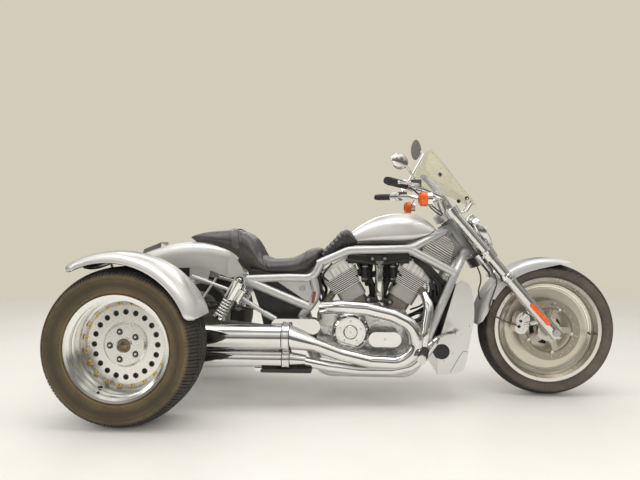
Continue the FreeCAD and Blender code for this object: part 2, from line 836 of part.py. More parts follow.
def make_fork_legs():
    """Two telescopic legs: polished sliders over chromed tubes."""
    foot = size(-34)
    profile = [
        (foot, 0),
        (foot, S.slider_radius - 8),
        (foot + 10, S.slider_radius),
        (S.slider_length - 18, S.slider_radius),
        (S.slider_length - 14, S.slider_radius + 3),
        (S.slider_length, S.slider_radius + 3),
        (S.slider_length + 4, S.leg_radius),
        (S.leg_length, S.leg_radius),
        (S.leg_length + 6, S.leg_radius - 5),
        (S.leg_length + 12, S.leg_radius - 5),
        (S.leg_length + 12, 0),
    ]
    tilt = Rotation(Vector(0, 1, 0), -90 - float(S.fork_angle))
    leg = turned("leg_body", profile)
    place(leg, (front_axle_x, -S.leg_spread / 2, front_axle_z), tilt * Rotation(Vector(1, 0, 0), 0))
    whole = cut("leg_right", leg, [pieces["front_axle"]])
    return piece("fork_legs", both_sides("fork_legs", whole))


def clamp_blank(name, along, height):
    """Fork clamp: a bridge between two rings, square to the steering axis."""
    ahead, up_leg = leg_crossing(along)
    ring = S.leg_radius + S.clamp_wall
    spread = S.leg_spread / 2
    body = new_body(name)
    profile = outline(body, name + "_profile", "XY_Plane", [
        (ahead + ring, -spread, ring),
        (ahead - ring * 0.2, -spread - ring * 0.98, ring),
        (ahead - ring, -spread, 110),
        (-S.stem_radius * 2.6, 0, 110),
        (ahead - ring, spread, ring),
        (ahead - ring * 0.2, spread + ring * 0.98, ring),
        (ahead + ring, spread, -160),
    ])
    pad = body.newObject("PartDesign::Pad", name + "_pad")
    pad.Profile = profile
    pad.Midplane = True
    bind(pad, "Length", height)
    tilt = Rotation(Vector(0, 1, 0), -float(S.rake))
    return place(body, on_steering(along, 0, 0), tilt)


def make_fork_clamps():
    """Lower clamp with the steering stem, and the upper clamp on the stem's end."""
    low_along = S.head_low - S.clamp_gap - S.low_clamp_height / 2
    top_along = S.head_high + S.clamp_gap + S.top_clamp_height / 2
    low = clamp_blank("low_clamp_blank", low_along, S.low_clamp_height)
    stem = rod("stem", on_steering(low_along, 0, 0), on_steering(top_along, 0, 0), S.stem_radius)
    nut = rod("stem_nut", on_steering(top_along + S.top_clamp_height / 2, 0, 0),
              on_steering(top_along + S.top_clamp_height / 2 + 14, 0, 0), S.stem_radius + 5)
    legs = pieces["fork_legs"]
    piece("lower_clamp", cut("lower_clamp", fuse("lower_whole", [low, stem]), [legs]))
    top = clamp_blank("top_clamp_blank", top_along, S.top_clamp_height)
    risers = []
    for name, sign in (("right", -1), ("left", 1)):
        foot = on_steering(top_along, 6, S.head_half * sign)
        head = (S.riser_x, S.head_half * sign, S.riser_z)
        risers.append(rod(f"riser_{name}", foot, head, 17))
    whole = fuse("upper_whole", [top, nut] + risers)
    piece("upper_clamp", cut("upper_clamp", whole, [legs, pieces["lower_clamp"], pieces["handlebar"]]))


def bar_points():
    """Route of the handlebar from the right grip's end to the left."""
    half = [
        (S.grip_x, -S.grip_half, S.grip_z),
        (S.bar_bend_x, -S.bar_bend_half, S.bar_bend_z),
        (S.riser_x, -S.head_half - 40, S.riser_z),
    ]
    return half + [(x, -y, z) for x, y, z in reversed(half)]


def make_handlebar():
    """Pulled back handlebar of one bent tube."""
    return piece("handlebar", tube("handlebar", bar_points(), 60, S.bar_radius))


def along_grip(distance, out=0):
    """Point on the line of the right grip, from its outer end inward."""
    start, end = (vector(point) for point in bar_points()[:2])
    way = (end - start).normalize()
    spot = start + way * float(distance)
    return (spot.x, spot.y, spot.z + float(out))


def make_grips():
    """Rubber grips with end weights over the bar's ends."""
    grip = rod("grip_blank", along_grip(0), along_grip(S.grip_length), S.grip_radius)
    weight = rod("bar_end", along_grip(-16), along_grip(0), S.grip_radius - 2)
    whole = cut("grip_right", fuse("grip_whole", [grip, weight]), [pieces["handlebar"]])
    return piece("grips", both_sides("grips", whole))


def make_hand_controls():
    """Switch housing, fluid reservoir and lever on each side of the bar."""
    inner = float(S.grip_length) + 2
    housing = rod("switch_housing", along_grip(inner), along_grip(inner + 44), 23)
    middle = vector(along_grip(inner + 30))
    reservoir = box("reservoir", (middle.x + 34, middle.y + 6, middle.z + 8), (46, 62, 34))
    clamp = rod("control_clamp", along_grip(inner + 46), along_grip(inner + 66), 22)
    pivot = (middle.x + 42, middle.y - 16, middle.z - 2)
    tip = (float(S.grip_x) + 44, -float(S.grip_half) + 4, float(S.grip_z) - 6)
    knuckle = (pivot[0] + 4, pivot[1] - 38, pivot[2])
    lever = tube("lever", [pivot, knuckle, tip], 30, 5.5)
    end = ball("lever_end", tip, 8)
    whole = fuse("control_whole", [housing, reservoir, clamp, lever, end])
    return piece("hand_controls",
                 both_sides("hand_controls", cut("control_right", whole, [pieces["handlebar"], pieces["grips"]])))


def mirror_shell(name, middle, turn, lift):
    """Oval mirror head: half an ellipsoid behind a flat glass, turned about Z and then lifted upright."""
    shell = doc.addObject("Part::Ellipsoid", name)
    bind(shell, "Radius1", S.mirror_depth)
    bind(shell, "Radius2", S.mirror_height / 2)
    bind(shell, "Radius3", S.mirror_width / 2)
    way = Rotation(Vector(0, 0, 1), turn) * Rotation(Vector(1, 0, 0), lift) * Rotation(Vector(0, 1, 0), 90)
    place(shell, middle, way)
    room = box(name + "_room", (0, 0, 0), (S.mirror_depth * 2, S.mirror_width + 20, S.mirror_width + 20))
    tilt = Rotation(Vector(0, 0, 1), turn)
    back = tilt.multVec(Vector(-1, 0, 0)) * (float(S.mirror_depth) + 1)
    corner = tilt.multVec(room.Placement.Base)
    room.setExpression(".Placement.Base.x", None)
    room.setExpression(".Placement.Base.y", None)
    room.setExpression(".Placement.Base.z", None)
    room.Placement = Placement(vector(middle) + back + corner, tilt)
    return cut(name + "_half", shell, [room])


def make_mirrors():
    """Oval mirrors on bent stems from the hand controls, the left one lifted upright as it was set."""
    foot = vector(along_grip(float(S.grip_length) + 32)) + Vector(34, 6, 24)
    sides = []
    for name, head, turn, lift, knee in (
        ("right", Vector(195, -400, 1098), -38, 0, Vector(242, -372, 1062)),
        ("left", Vector(371, 400, 1292), 44, 90, Vector(412, 352, 1262)),
    ):
        start = Vector(foot.x, foot.y if name == "right" else -foot.y, foot.z)
        shell = mirror_shell(f"mirror_{name}_shell", (head.x, head.y, head.z), turn, lift)
        facing = Rotation(Vector(0, 0, 1), turn).multVec(Vector(1, 0, 0))
        end = head + facing * (float(S.mirror_depth) * 0.6)
        stem = tube(f"mirror_{name}_stem", [start, knee, end], 30, 4.5)
        sides.append(cut(f"mirror_{name}", fuse(f"mirror_{name}_whole", [stem, shell]), [pieces["hand_controls"]]))
    return piece("mirrors", group("mirrors", sides))


def make_turn_signals():
    """Round turn signals on short arms below the bar."""
    middle = (326, -292, 946)
    pod = rod("signal_pod", (middle[0] - 24, middle[1], middle[2]), (middle[0] + 24, middle[1], middle[2]), 31)
    arm = tube("signal_arm", [(middle[0], middle[1], middle[2]), (middle[0] + 10, middle[1] + 60, middle[2] + 20),
                              (348, -165.8, 990.8)],
               25, 8)
    whole = cut("signal_right", fuse("signal_whole", [pod, arm]), [pieces["handlebar"]])
    return piece("turn_signals", both_sides("turn_signals", whole))


def lamp_axis():
    """Direction in which the headlamp looks."""
    return Rotation(Vector(0, 1, 0), -float(S.lamp_tilt))


def make_headlamp():
    """Chromed headlamp shell with its rim, and the bulging lens before it."""
    reach = float(S.lamp_radius) - 4
    rise = float(S.lamp_bulge) - 2
    lens_ball = (reach ** 2 + rise ** 2) / (2 * rise)
    front = (float(S.lamp_radius), -8.0)
    rear = (20.0, -float(S.lamp_depth))
    middle = (front[0] ** 2 + front[1] ** 2 - rear[0] ** 2 - rear[1] ** 2) / (2 * (front[1] - rear[1]))
    shell_ball = math.hypot(front[0], front[1] - middle)
    shell = turned("lamp_shell", [
        (-S.lamp_depth, 0),
        (0, 0),
        (0, S.lamp_radius - 4),
        (2, S.lamp_radius - 4),
        (2, S.lamp_radius),
        (-8, S.lamp_radius, -shell_ball),
        (-S.lamp_depth, 20),
    ])
    place(shell, (S.lamp_x, 0, S.lamp_z), lamp_axis())
    low_along = S.head_low - S.clamp_gap - S.low_clamp_height / 2
    mount = rod("lamp_mount", on_steering(low_along, 50, 0), (S.lamp_x - 28, 0, S.lamp_z - 52), 15)
    whole = cut("headlamp", fuse("lamp_whole", [shell, mount]), [pieces["lower_clamp"]])
    piece("headlamp", whole)
    lens = turned("headlamp_lens", [
        (0, 0),
        (S.lamp_bulge, 0, -lens_ball),
        (2, S.lamp_radius - 4),
        (0, S.lamp_radius - 4),
    ])
    place(lens, (S.lamp_x, 0, S.lamp_z), lamp_axis())
    piece("headlamp_lens", lens)


def make_nacelle():
    """Tapered instrument housing from the upper clamp up to the rider."""
    stations = [
        (500, 900, 40, 22),
        (470, 950, 58, 30),
        (430, 1005, 72, 34),
        (392, 1050, 78, 34),
        (362, 1076, 70, 24),
    ]
    wires = []
    lean = math.radians(38)
    for x, z, half, thick in stations:
        wire = oval_wire(0, 0, half, thick, thick, 2.6)
        wire.Placement = Placement(Vector(x, 0, z), Rotation(Vector(0, 1, 0), -90 + math.degrees(lean)))
        wires.append(wire)
    blank = loft_through("nacelle_blank", wires)
    whole = cut("instrument_nacelle", blank, [pieces["handlebar"], pieces["upper_clamp"], pieces["headlamp"],
                                            pieces["headlamp_lens"]])
    return piece("instrument_nacelle", whole)


def make_windscreen():
    """Clear curved screen, widest above its middle, wrapped back to a corner on each side."""
    wires = []
    for x, z, half, sweep in ((617, 939, 58, 22), (581, 984, 106, 62), (541, 1032, 166, 128), (505, 1080, 204, 158),
                              (462, 1136, 178, 112), (424, 1180, 128, 54), (391, 1216, 62, 14)):
        front = []
        back = []
        for step in range(9):
            side = -1 + step / 4
            drop = sweep * side * side
            front.append(Vector(x - drop, half * side, z))
            back.append(Vector(x - drop - S.screen_sheet.value * 1.25, half * side, z))
        outer = Part.BSplineCurve()
        outer.interpolate(front)
        inner = Part.BSplineCurve()
        inner.interpolate(list(reversed(back)))
        edges = [outer.toShape(), Part.makeLine(front[-1], back[-1]), inner.toShape(),
                 Part.makeLine(back[0], front[0])]
        wires.append(Part.Wire(edges))
    screen = loft_through("windscreen", wires)
    return piece("windscreen", screen)


def make_screen_brackets():
    """Two short arms that hold the screen's foot to the upper clamp."""
    top_along = S.head_high + S.clamp_gap + S.top_clamp_height / 2
    start = on_steering(top_along, 0, -64)
    arm = tube("screen_arm", [start, (560, -52, 905), (590, -44, 952)], 20, 6)
    pad = rod("screen_pad", (580, -44, 952), (594, -44, 952), 9)
    ahead = []
    for step in range(1, 6):
        shape = pieces["windscreen"].Shape.copy()
        shape.translate(Vector(step * float(S.screen_sheet), 0, 0))
        ahead.append(solid_feature(f"screen_ahead_{step}", shape))
    whole = cut("screen_arm_right", fuse("screen_arm_whole", [arm, pad]),
                [pieces["upper_clamp"], pieces["windscreen"], pieces["headlamp"], pieces["fork_legs"],
                 pieces["headlamp_lens"], pieces["instrument_nacelle"]] + ahead)
    return piece("screen_brackets", both_sides("screen_brackets", whole))


def make_front_fender():
    """Front fender: a crowned sheet round the tyre with turned down sides, carried by the sliders."""
    inner = S.front_tyre_radius + S.fender_gap
    outer = inner + S.fender_sheet
    half = S.front_fender_half
    edge = inner - S.front_fender_depth
    body = turned("fender_blank", [
        (-half, edge),
        (S.fender_sheet - half, edge),
        (S.fender_sheet - half, inner - 22, 26),
        (26 - half, inner),
        (half - 26, inner, 26),
        (half - S.fender_sheet, inner - 22),
        (half - S.fender_sheet, edge),
        (half, edge),
        (half, inner - 22, -29),
        (half - 26, outer),
        (26 - half, outer, -29),
        (-half, inner - 22),
    ], S.front_fender_sweep)
    place(body, (front_axle_x, 0, front_axle_z),
          Rotation(Vector(0, 1, 0), float(S.front_fender_start)) * ALONG_Y)
    posts = []
    for name, sign in (("right", -1), ("left", 1)):
        high = on_leg(S.slider_length - 40, 0)
        post_in = (high[0], (half - 1) * sign, high[2])
        post_out = (high[0], (S.leg_spread / 2) * sign, high[2])
        posts.append(rod(f"fender_post_{name}", post_in, post_out, 11))
    front_taper = plate("fender_front_taper", [
        (880, 596),
        (894, 622),
        (966, 638),
        (1027, 650),
        (1062, 655),
        (1110, 662),
        (1110, 596),
    ], 200)
    rear_taper = plate("fender_rear_taper", [
        (676, 474),
        (675, 458),
        (653, 405),
        (631, 368),
        (611, 351),
        (590, 330),
        (700, 330),
        (700, 474),
    ], 200)
    whole = cut("front_fender", fuse("fender_whole", [body] + posts),
                [pieces["fork_legs"], front_taper, rear_taper])
    return piece("front_fender", whole)


def make_front_calipers():
    """Four piston calipers behind the fork legs, with the slot that the rotor runs in."""
    middle = S.rotor_middle
    angle = math.radians(15)
    reach = 142
    centre = (front_axle_x - reach * math.cos(angle), -middle, front_axle_z + reach * math.sin(angle))
    block = box("caliper_block", centre, (56, 60, 52))
    housings = []
    for name, step in (("high", 23), ("low", -23)):
        x = centre[0] + step * math.sin(angle)
        z = centre[2] + step * math.cos(angle)
        housings.append(rod(f"caliper_{name}", (x, -middle - 32, z), (x, -middle + 32, z), 30))
        housings.append(rod(f"caliper_cap_{name}", (x, -middle - 36, z), (x, -middle, z), 18))
    arm_end = on_leg(150, -S.leg_spread / 2 + 6)
    arm = rod("caliper_arm", (centre[0] + 6, -middle - 26, centre[2] + 30), arm_end, 13)
    low_end = on_leg(70, -S.leg_spread / 2 + 6)
    low_arm = rod("caliper_low_arm", (centre[0] + 10, -middle - 26, centre[2] - 8), low_end, 11)
    slot = turned("rotor_slot", [
        (-S.rotor_plate / 2 - 5, 0),
        (S.rotor_plate / 2 + 5, 0),
        (S.rotor_plate / 2 + 5, S.rotor_radius + 6),
        (-S.rotor_plate / 2 - 5, S.rotor_radius + 6),
    ])
    place(slot, (front_axle_x, -middle, front_axle_z), ALONG_Y)
    whole = cut("caliper_right", fuse("caliper_whole", [block, arm, low_arm] + housings), [slot, pieces["fork_legs"]])
    return piece("front_calipers", both_sides("front_calipers", whole))


def make_steering_head():
    """Steering head of the frame: bearing tube, cross castings and their end caps."""
    head = rod("head_tube", on_steering(S.head_low, 0, 0), on_steering(S.head_high, 0, 0), S.head_radius)
    cap = S.head_half + S.frame_tube
    upper = rod("head_cross", (S.head_cap_x, -cap, S.head_cap_z), (S.head_cap_x, cap, S.head_cap_z),
                S.frame_tube + 3)
    low_half = S.down_top_half + S.frame_tube - 6
    lower = rod("head_low_cross", (S.down_top_x, -low_half, S.down_top_z),
                (S.down_top_x, low_half, S.down_top_z), S.frame_tube + 3)
    web = plate("head_web", [
        (S.head_cap_x - 4, S.head_cap_z + 10),
        (S.head_cap_x - 46, S.head_cap_z - 34),
        (S.down_top_x - 60, S.down_top_z - 20),
        (S.down_top_x, S.down_top_z - 14),
        (S.down_top_x + 10, S.down_top_z + 10),
    ], 60)
    bore = rod("head_bore", on_steering(S.head_low - 10, 0, 0), on_steering(S.head_high + 10, 0, 0),
               S.stem_radius + S.bearing_gap)
    return piece("steering_head", cut("steering_head", fuse("head_whole", [head, upper, lower, web]), [bore]))


def make_frame():
    """Perimeter frame, right and left: upper tube, brace, downtube and lower rail in one weldment."""
    half = -S.frame_half
    upper = tube("upper_tube", [
        (S.head_cap_x, -S.head_half, S.head_cap_z),
        (S.kink_x, half, S.kink_z),
        (S.knee_x, half, S.knee_z),
        (S.upper_end_x, half, S.upper_end_z),
    ], 90, S.frame_tube)
    brace = rod("brace", (S.kink_x - 10, half, S.kink_z), (S.join_x, half + 12, S.join_z), S.frame_tube)
    down = tube("downtube", [
        (S.down_top_x, -S.down_top_half, S.down_top_z),
        (S.join_x, half + 12, S.join_z),
        (S.down_low_x, half - 8, S.down_low_z),
        (S.rail_front_x, half - 8, S.rail_z),
        (S.rail_rear_x, half, S.rail_z),
        (S.pivot_x, half, S.pivot_z),
    ], 90, S.frame_tube)
    whole = fuse("frame_whole", [upper, brace, down])
    right = piece("frame_right", cut("frame_right", whole, [pieces["steering_head"]]))
    piece("frame_left", mirrored("frame_left", right))


def make_subframe():
    """Cast rear subframe, each side: top rail, diagonal rail, front leg and the shock's eye boss."""
    half = -S.frame_half - 8
    eye = (S.shock_top_x, half, S.shock_top_z)
    corner = (S.leg_top_x, half, S.leg_top_z)
    foot = (S.leg_low_x, half, S.leg_low_z)
    top = tube("subframe_top", [eye, (S.leg_top_x - 120, half, S.leg_top_z + 2), corner,
                                (S.upper_end_x + 14, half, S.upper_end_z + 8)], 60, S.subframe_tube)
    diagonal = rod("subframe_diagonal", eye, foot, S.subframe_tube + 3)
    leg = tube("subframe_leg", [corner, (S.leg_top_x + 14, half, S.leg_top_z - 60),
                                (S.leg_low_x + 30, half, S.leg_low_z + 40), foot,
                                (S.leg_low_x - 46, half, S.leg_low_z - 46),
                                (S.pivot_x, half, S.pivot_z + 20)], 60, S.subframe_tube)
    boss = rod("subframe_boss", (S.shock_top_x, -S.shock_half + S.shock_eye_width / 2, S.shock_top_z),
               (S.shock_top_x, half + 30, S.shock_top_z), 24)
    hanger = plate("strut_hanger", [
        (S.shock_top_x - 22, S.shock_top_z + 8),
        (S.shock_top_x - 62, S.shock_top_z - 84),
        (S.shock_top_x - 14, S.shock_top_z - 92),
        (S.shock_top_x + 20, S.shock_top_z - 4),
    ], 26)
    place(hanger, (0, half - 14, 0))
    strut_top = (S.shock_top_x - 36, half - 16, S.shock_top_z - 70)
    strut_middle = (S.shock_top_x + 104, half - 16, S.shock_top_z - 160)
    strut_foot = (S.pivot_x - 18, half - 8, S.pivot_z + 48)
    strut = rod("strut_threads", strut_top, strut_middle, 11)
    strut_low = rod("strut_low", strut_middle, strut_foot, 15)
    cover = plate("side_cover", [
        (S.leg_top_x - 176, S.leg_top_z - 16),
        (S.leg_top_x - 22, S.leg_top_z - 10),
        (S.leg_top_x - 6, S.leg_top_z - 60),
        (S.leg_top_x - 14, S.leg_top_z - 112),
        (S.leg_top_x - 40, S.leg_top_z - 106),
    ], 12)
    place(cover, (0, half + 4, 0))
    whole = fuse("subframe_whole", [top, diagonal, leg, boss, hanger, strut, strut_low, cover])
    right = cut("subframe_side", whole, [pieces["frame_right"]])
    return piece("subframe", both_sides("subframe", right))


def make_shocks():
    """Shock absorbers: body with its reservoir, lower rod and both eyes."""
    half = -S.shock_half
    top = Vector(float(S.shock_top_x), float(half), float(S.shock_top_z))
    low = Vector(float(S.shock_low_x), float(half), float(S.shock_low_z))
    way = (low - top).normalize()
    length = (low - top).Length
    across = Vector(-way.z, 0, way.x)
    body_end = top + way * length * 0.44
    body = rod("shock_body", top + way * 8, body_end, 29)
    can_start = top + way * 34 + across * 36
    can = rod("shock_can", can_start, top + way * length * 0.42 + across * 36, 17)
    neck = rod("shock_neck", can_start + way * 10, top + way * 44, 9)
    stem = rod("shock_rod", body_end, low, 11)
    seat = rod("shock_seat", low - way * 26, low - way * 16, 29)
    eyes = []
    for name, spot in (("top", top), ("low", low)):
        reach = Vector(0, float(S.shock_eye_width) / 2, 0)
        eyes.append(rod(f"shock_eye_{name}", spot - reach, spot + reach, 20))
    whole = fuse("shock_whole", [body, can, neck, stem, seat] + eyes)
    right = cut("shock_right", whole, [pieces["subframe"], pieces["swingarm"]])
    return piece("shocks", both_sides("shocks", right))


def make_springs():
    """Open coil springs round the lower half of the shocks."""
    half = -S.shock_half
    top = Vector(float(S.shock_top_x), float(half), float(S.shock_top_z))
    low = Vector(float(S.shock_low_x), float(half), float(S.shock_low_z))
    way = (low - top).normalize()
    length = (low - top).Length
    start = top + way * (length * 0.44 + 0.3)
    height = length * 0.56 - 0.3 - 26 - 0.3
    wire = 4.4
    turns = 6
    helix = Part.makeHelix((height - 2 * wire) / turns, height - 2 * wire, 24)
    ring = Part.Wire(Part.makeCircle(wire, Vector(24, 0, 0), Vector(0, 1, 0)))
    coil = Part.Wire(helix).makePipeShell([ring], True, True)
    coil.Placement = Placement(start + way * wire, turn_to((way.x, way.y, way.z)))
    spring = solid_feature("spring_right", coil)
    return piece("shock_springs", both_sides("shock_springs", spring))


def make_crankcase():
    """Crankcase and gearbox in one block, round in front, with the shoulders that the cylinders sit on."""
    left_x = S.pivot_x + 40
    body = plate("case_blank", [
        (left_x, 190),
        (S.crank_x, S.crank_z - S.crank_radius + 16, -S.crank_radius - 6),
        (S.crank_x + S.crank_radius, S.crank_z, -S.crank_radius - 6),
        (S.crank_x + S.crank_radius * 0.84, S.crank_z + S.crank_radius * 0.98),
        (S.crank_x + 60, S.crank_z + S.crank_radius * 1.02),
        (S.crank_x - 40, S.crank_z + S.crank_radius * 1.02),
        (S.crank_x - 110, S.crank_z + S.crank_radius * 1.2),
        (left_x, S.pivot_z + 150),
    ], S.case_half * 2)
    sump = box("sump", (S.crank_x - 30, 0, 150), (190, 150, 60))
    whole = cut("crankcase", fuse("case_whole", [body, sump]), [pieces["swingarm"], pieces["frame_right"],
                                                                pieces["frame_left"]])
    return piece("crankcase", whole)


def make_cylinder(name, bank):
    """One cylinder: smooth barrel, cooling fins, and a cast head with its cover and four bosses."""
    body = new_body(name + "_casting")
    barrel_levels = (
        ("neck", S.barrel_neck, S.barrel_half - 12, 0, S.barrel_step - S.barrel_foot + 4),
        ("barrel", S.barrel_length, S.barrel_half, S.barrel_step - S.barrel_foot,
         S.barrel_top + S.fin_count * S.fin_pitch - S.barrel_step),
    )
    for part, length, half, level, height in barrel_levels:
        plan = outline(body, f"{name}_{part}_plan", "XY_Plane", [
            (-length / 2 + 24, -half),
            (length / 2 - 24, -half, -24),
            (length / 2, -half + 24),
            (length / 2, half - 24, -24),
            (length / 2 - 24, half),
            (-length / 2 + 24, half, -24),
            (-length / 2, half - 24),
            (-length / 2, -half + 24, -24),
        ])
        bind(plan, ".AttachmentOffset.Base.z", level)
        pad = body.newObject("PartDesign::Pad", f"{name}_{part}_pad")
        pad.Profile = plan
        bind(pad, "Length", height)
        body.Tip = pad
    fin_plan = outline(body, name + "_fin_plan", "XY_Plane", [
        (-S.fin_length / 2 + 14, -S.fin_half),
        (S.fin_length / 2 - 14, -S.fin_half, -26),
        (S.fin_length / 2, -S.fin_half + 22),
        (S.fin_length / 2, S.fin_half - 22, -26),
        (S.fin_length / 2 - 14, S.fin_half),
        (-S.fin_length / 2 + 14, S.fin_half, -26),
        (-S.fin_length / 2, S.fin_half - 22),
        (-S.fin_length / 2, -S.fin_half + 22, -26),
    ])
    bind(fin_plan, ".AttachmentOffset.Base.z", S.barrel_top - S.barrel_foot)
    fin = body.newObject("PartDesign::Pad", name + "_fin")
    fin.Profile = fin_plan
    bind(fin, "Length", S.fin_plate)
    fins = body.newObject("PartDesign::LinearPattern", name + "_fins")
    fins.Originals = [fin]
    fins.Direction = (origin_plane(body, "Z_Axis"), [""])
    bind(fins, "Length", (S.fin_count - 1) * S.fin_pitch)
    bind(fins, "Occurrences", S.fin_count)
    body.Tip = fins
    head_plan = outline(body, name + "_head_plan", "XY_Plane", [
        (-S.fin_length / 2 + 18, -S.fin_half + 6),
        (S.fin_length / 2 - 18, -S.fin_half + 6),
        (S.fin_length / 2 - 18, S.fin_half - 6),
        (-S.fin_length / 2 + 18, S.fin_half - 6),
    ])
    head_level = S.barrel_top + S.fin_count * S.fin_pitch - S.barrel_foot - 2
    bind(head_plan, ".AttachmentOffset.Base.z", head_level)
    head = body.newObject("PartDesign::Pad", name + "_head")
    head.Profile = head_plan
    bind(head, "Length", S.head_height)
    body.Tip = head
    boss_plan = round_sketch(body, name + "_boss_plan", "XY_Plane",
                             (S.fin_length / 2 - 24, -S.fin_half + 8), 15)
    bind(boss_plan, ".AttachmentOffset.Base.z", head_level)
    boss = body.newObject("PartDesign::Pad", name + "_boss")
    boss.Profile = boss_plan
    bind(boss, "Length", S.head_height - 14)
    doc.recompute()
    bosses = body.newObject("PartDesign::LinearPattern", name + "_bosses")
    bosses.Originals = [boss]
    bosses.Direction = (origin_plane(body, "X_Axis"), [""])
    bosses.Reversed = True
    bind(bosses, "Length", S.fin_length - 48)
    bosses.Occurrences = 4
    body.Tip = bosses
    lean = S.bank_angle * bank
    place(body, (S.crank_x + S.barrel_foot * sine(lean), 0, S.crank_z + S.barrel_foot * cosine(lean)),
          Rotation(Vector(0, 1, 0), float(lean)))
    reach = S.fin_length / 2 + 20
    low = S.barrel_top - S.barrel_foot
    high = low + S.fin_count * S.fin_pitch
    slopes = []
    for part, sign in (("front", 1), ("rear", -1)):
        wedge = plate(f"{name}_{part}_wedge", [
            ((S.fin_length / 2 - S.fin_taper) * sign, low - 0.5),
            (reach * sign, low - 0.5),
            (reach * sign, high),
            (S.fin_length / 2 * sign, high),
        ], 2 * S.fin_half + 20)
        place(wedge, body.Placement.Base, body.Placement.Rotation)
        slopes.append(wedge)
    whole = cut(name, body, slopes + [pieces["crankcase"], pieces["frame_right"], pieces["frame_left"]])
    return piece(name, whole)


def make_centre_pipe():
    """Chromed coolant crossover that stands between the cylinders, with its foot and cap."""
    side = -S.case_half + 22
    pipe = rod("pipe", (S.centre_pipe_x, side, S.crank_z + S.crank_radius * 1.02), (S.centre_pipe_x, side, 668),
               S.centre_pipe_radius)
    foot = rod("pipe_foot", (S.centre_pipe_x, side, S.crank_z + S.crank_radius * 1.02),
               (S.centre_pipe_x, side, S.crank_z + S.crank_radius * 1.02 + 26), S.centre_pipe_radius + 9)
    cap = rod("pipe_cap", (S.centre_pipe_x, side - 34, 664), (S.centre_pipe_x, side + 200, 664), 20)
    whole = cut("centre_pipe", fuse("pipe_whole", [pipe, foot, cap]),
                [pieces["crankcase"], pieces["front_cylinder"], pieces["rear_cylinder"]])
    return piece("centre_pipe", whole)


def make_engine_covers():
    """Round clutch cover and oval cover on the right, round generator cover on the left."""
    face = S.clutch_face
    inner = S.case_half
    clutch = turned("clutch_cover", [
        (inner, 0),
        (inner, S.clutch_radius + 8),
        (face - 26, S.clutch_radius + 8),
        (face - 16, S.clutch_radius),
        (face - 8, S.clutch_radius - 10),
        (face - 8, 34),
        (face, 28),
        (face, 0),
    ])
    place(clutch, (S.clutch_x, 0, S.clutch_z), Rotation(Vector(0, 0, 1), -90))
    reach = S.pump_length / 2 - S.pump_height / 2
    half = S.pump_height / 2
    pump = plate("pump_cover", [
        (-reach, -half),
        (reach, -half, -half),
        (reach + half, 0, -half),
        (reach, half),
        (-reach, half, -half),
        (-reach - half, 0, -half),
    ], S.clutch_face - 16 - inner)
    place(pump, (S.pump_x, -(inner + (face - 16 - inner) / 2), S.pump_z))
    left = turned("generator_cover", [
        (inner, 0),
        (inner, 104),
        (inner + 44, 100),
        (inner + 62, 84),
        (inner + 62, 0),
    ])
    place(left, (S.crank_x, 0, S.crank_z), ALONG_Y)
    right = cut("right_covers", fuse("right_covers_whole", [clutch, pump]), [pieces["crankcase"]])
    return piece("engine_covers", group("engine_covers", [right, left]))


def make_headers():
    """Header pipes: the rear cylinder's loops round the clutch cover, the front cylinder's runs below it."""
    half = -S.muffler_half
    loop = tube("rear_header", [
        (-146, -196, 443),
        (-60, -238, 455),
        (60, -244, 448),
        (180, -246, 420),
        (276, -248, 372),
        (292, -250, 262),
        (213, -250, 203),
        (77, -252, 209),
        (-60, -262, 243),
        (-150, -276, 278),
        (S.muffler_front_x + 112, half, S.upper_muffler_z - 26),
    ], 90, S.header_radius)
    taper = cone("header_taper", (S.muffler_front_x + 130, half, S.upper_muffler_z - 32),
                 (S.muffler_front_x, half, S.upper_muffler_z), S.header_radius, S.upper_muffler_radius - 3)
    under = tube("front_header", [
        (344, -128, 500),
        (356, -176, 452),
        (330, -214, 330),
        (306, -214, 186),
        (180, -216, 158),
        (20, -226, 160),
        (-120, -262, 186),
        (S.muffler_front_x + 60, half, S.lower_muffler_z - 6),
        (S.muffler_front_x, half, S.lower_muffler_z),
    ], 90, S.under_radius)
    under_taper = cone("under_taper", (S.muffler_front_x + 90, half, S.lower_muffler_z - 6),
                       (S.muffler_front_x, half, S.lower_muffler_z), S.under_radius, S.lower_muffler_radius - 3)
    keep = [pieces["engine_covers"], pieces["crankcase"], pieces["frame_right"], pieces["mufflers"]]
    rear = cut("rear_header_cut", fuse("rear_header_whole", [loop, taper]), keep)
    front = cut("front_header_cut", fuse("front_header_whole", [under, under_taper]),
                keep + [pieces["rear_cylinder"], pieces["front_cylinder"]])
    return piece("exhaust_headers", group("exhaust_headers", [rear, front]))


def muffler(name, level, radius):
    """One straight muffler with a hollow rear end."""
    length = S.muffler_front_x - S.muffler_rear_x
    body = turned(name, [
        (0, 0),
        (0, radius - 8),
        (8, radius),
        (length - 2, radius),
        (length, radius - 2),
        (length, radius - S.muffler_wall - 4),
        (length - 40, radius - S.muffler_wall - 6),
        (length - 60, 16),
        (length - 60, 0),
    ])
    return place(body, (S.muffler_front_x, -S.muffler_half, level), Rotation(Vector(0, 0, 1), 180))


def make_mufflers():
    """Two mufflers, one over the other."""
    upper = muffler("upper_muffler", S.upper_muffler_z, S.upper_muffler_radius)
    lower = muffler("lower_muffler", S.lower_muffler_z, S.lower_muffler_radius)
    return piece("mufflers", group("mufflers", [upper, lower]))


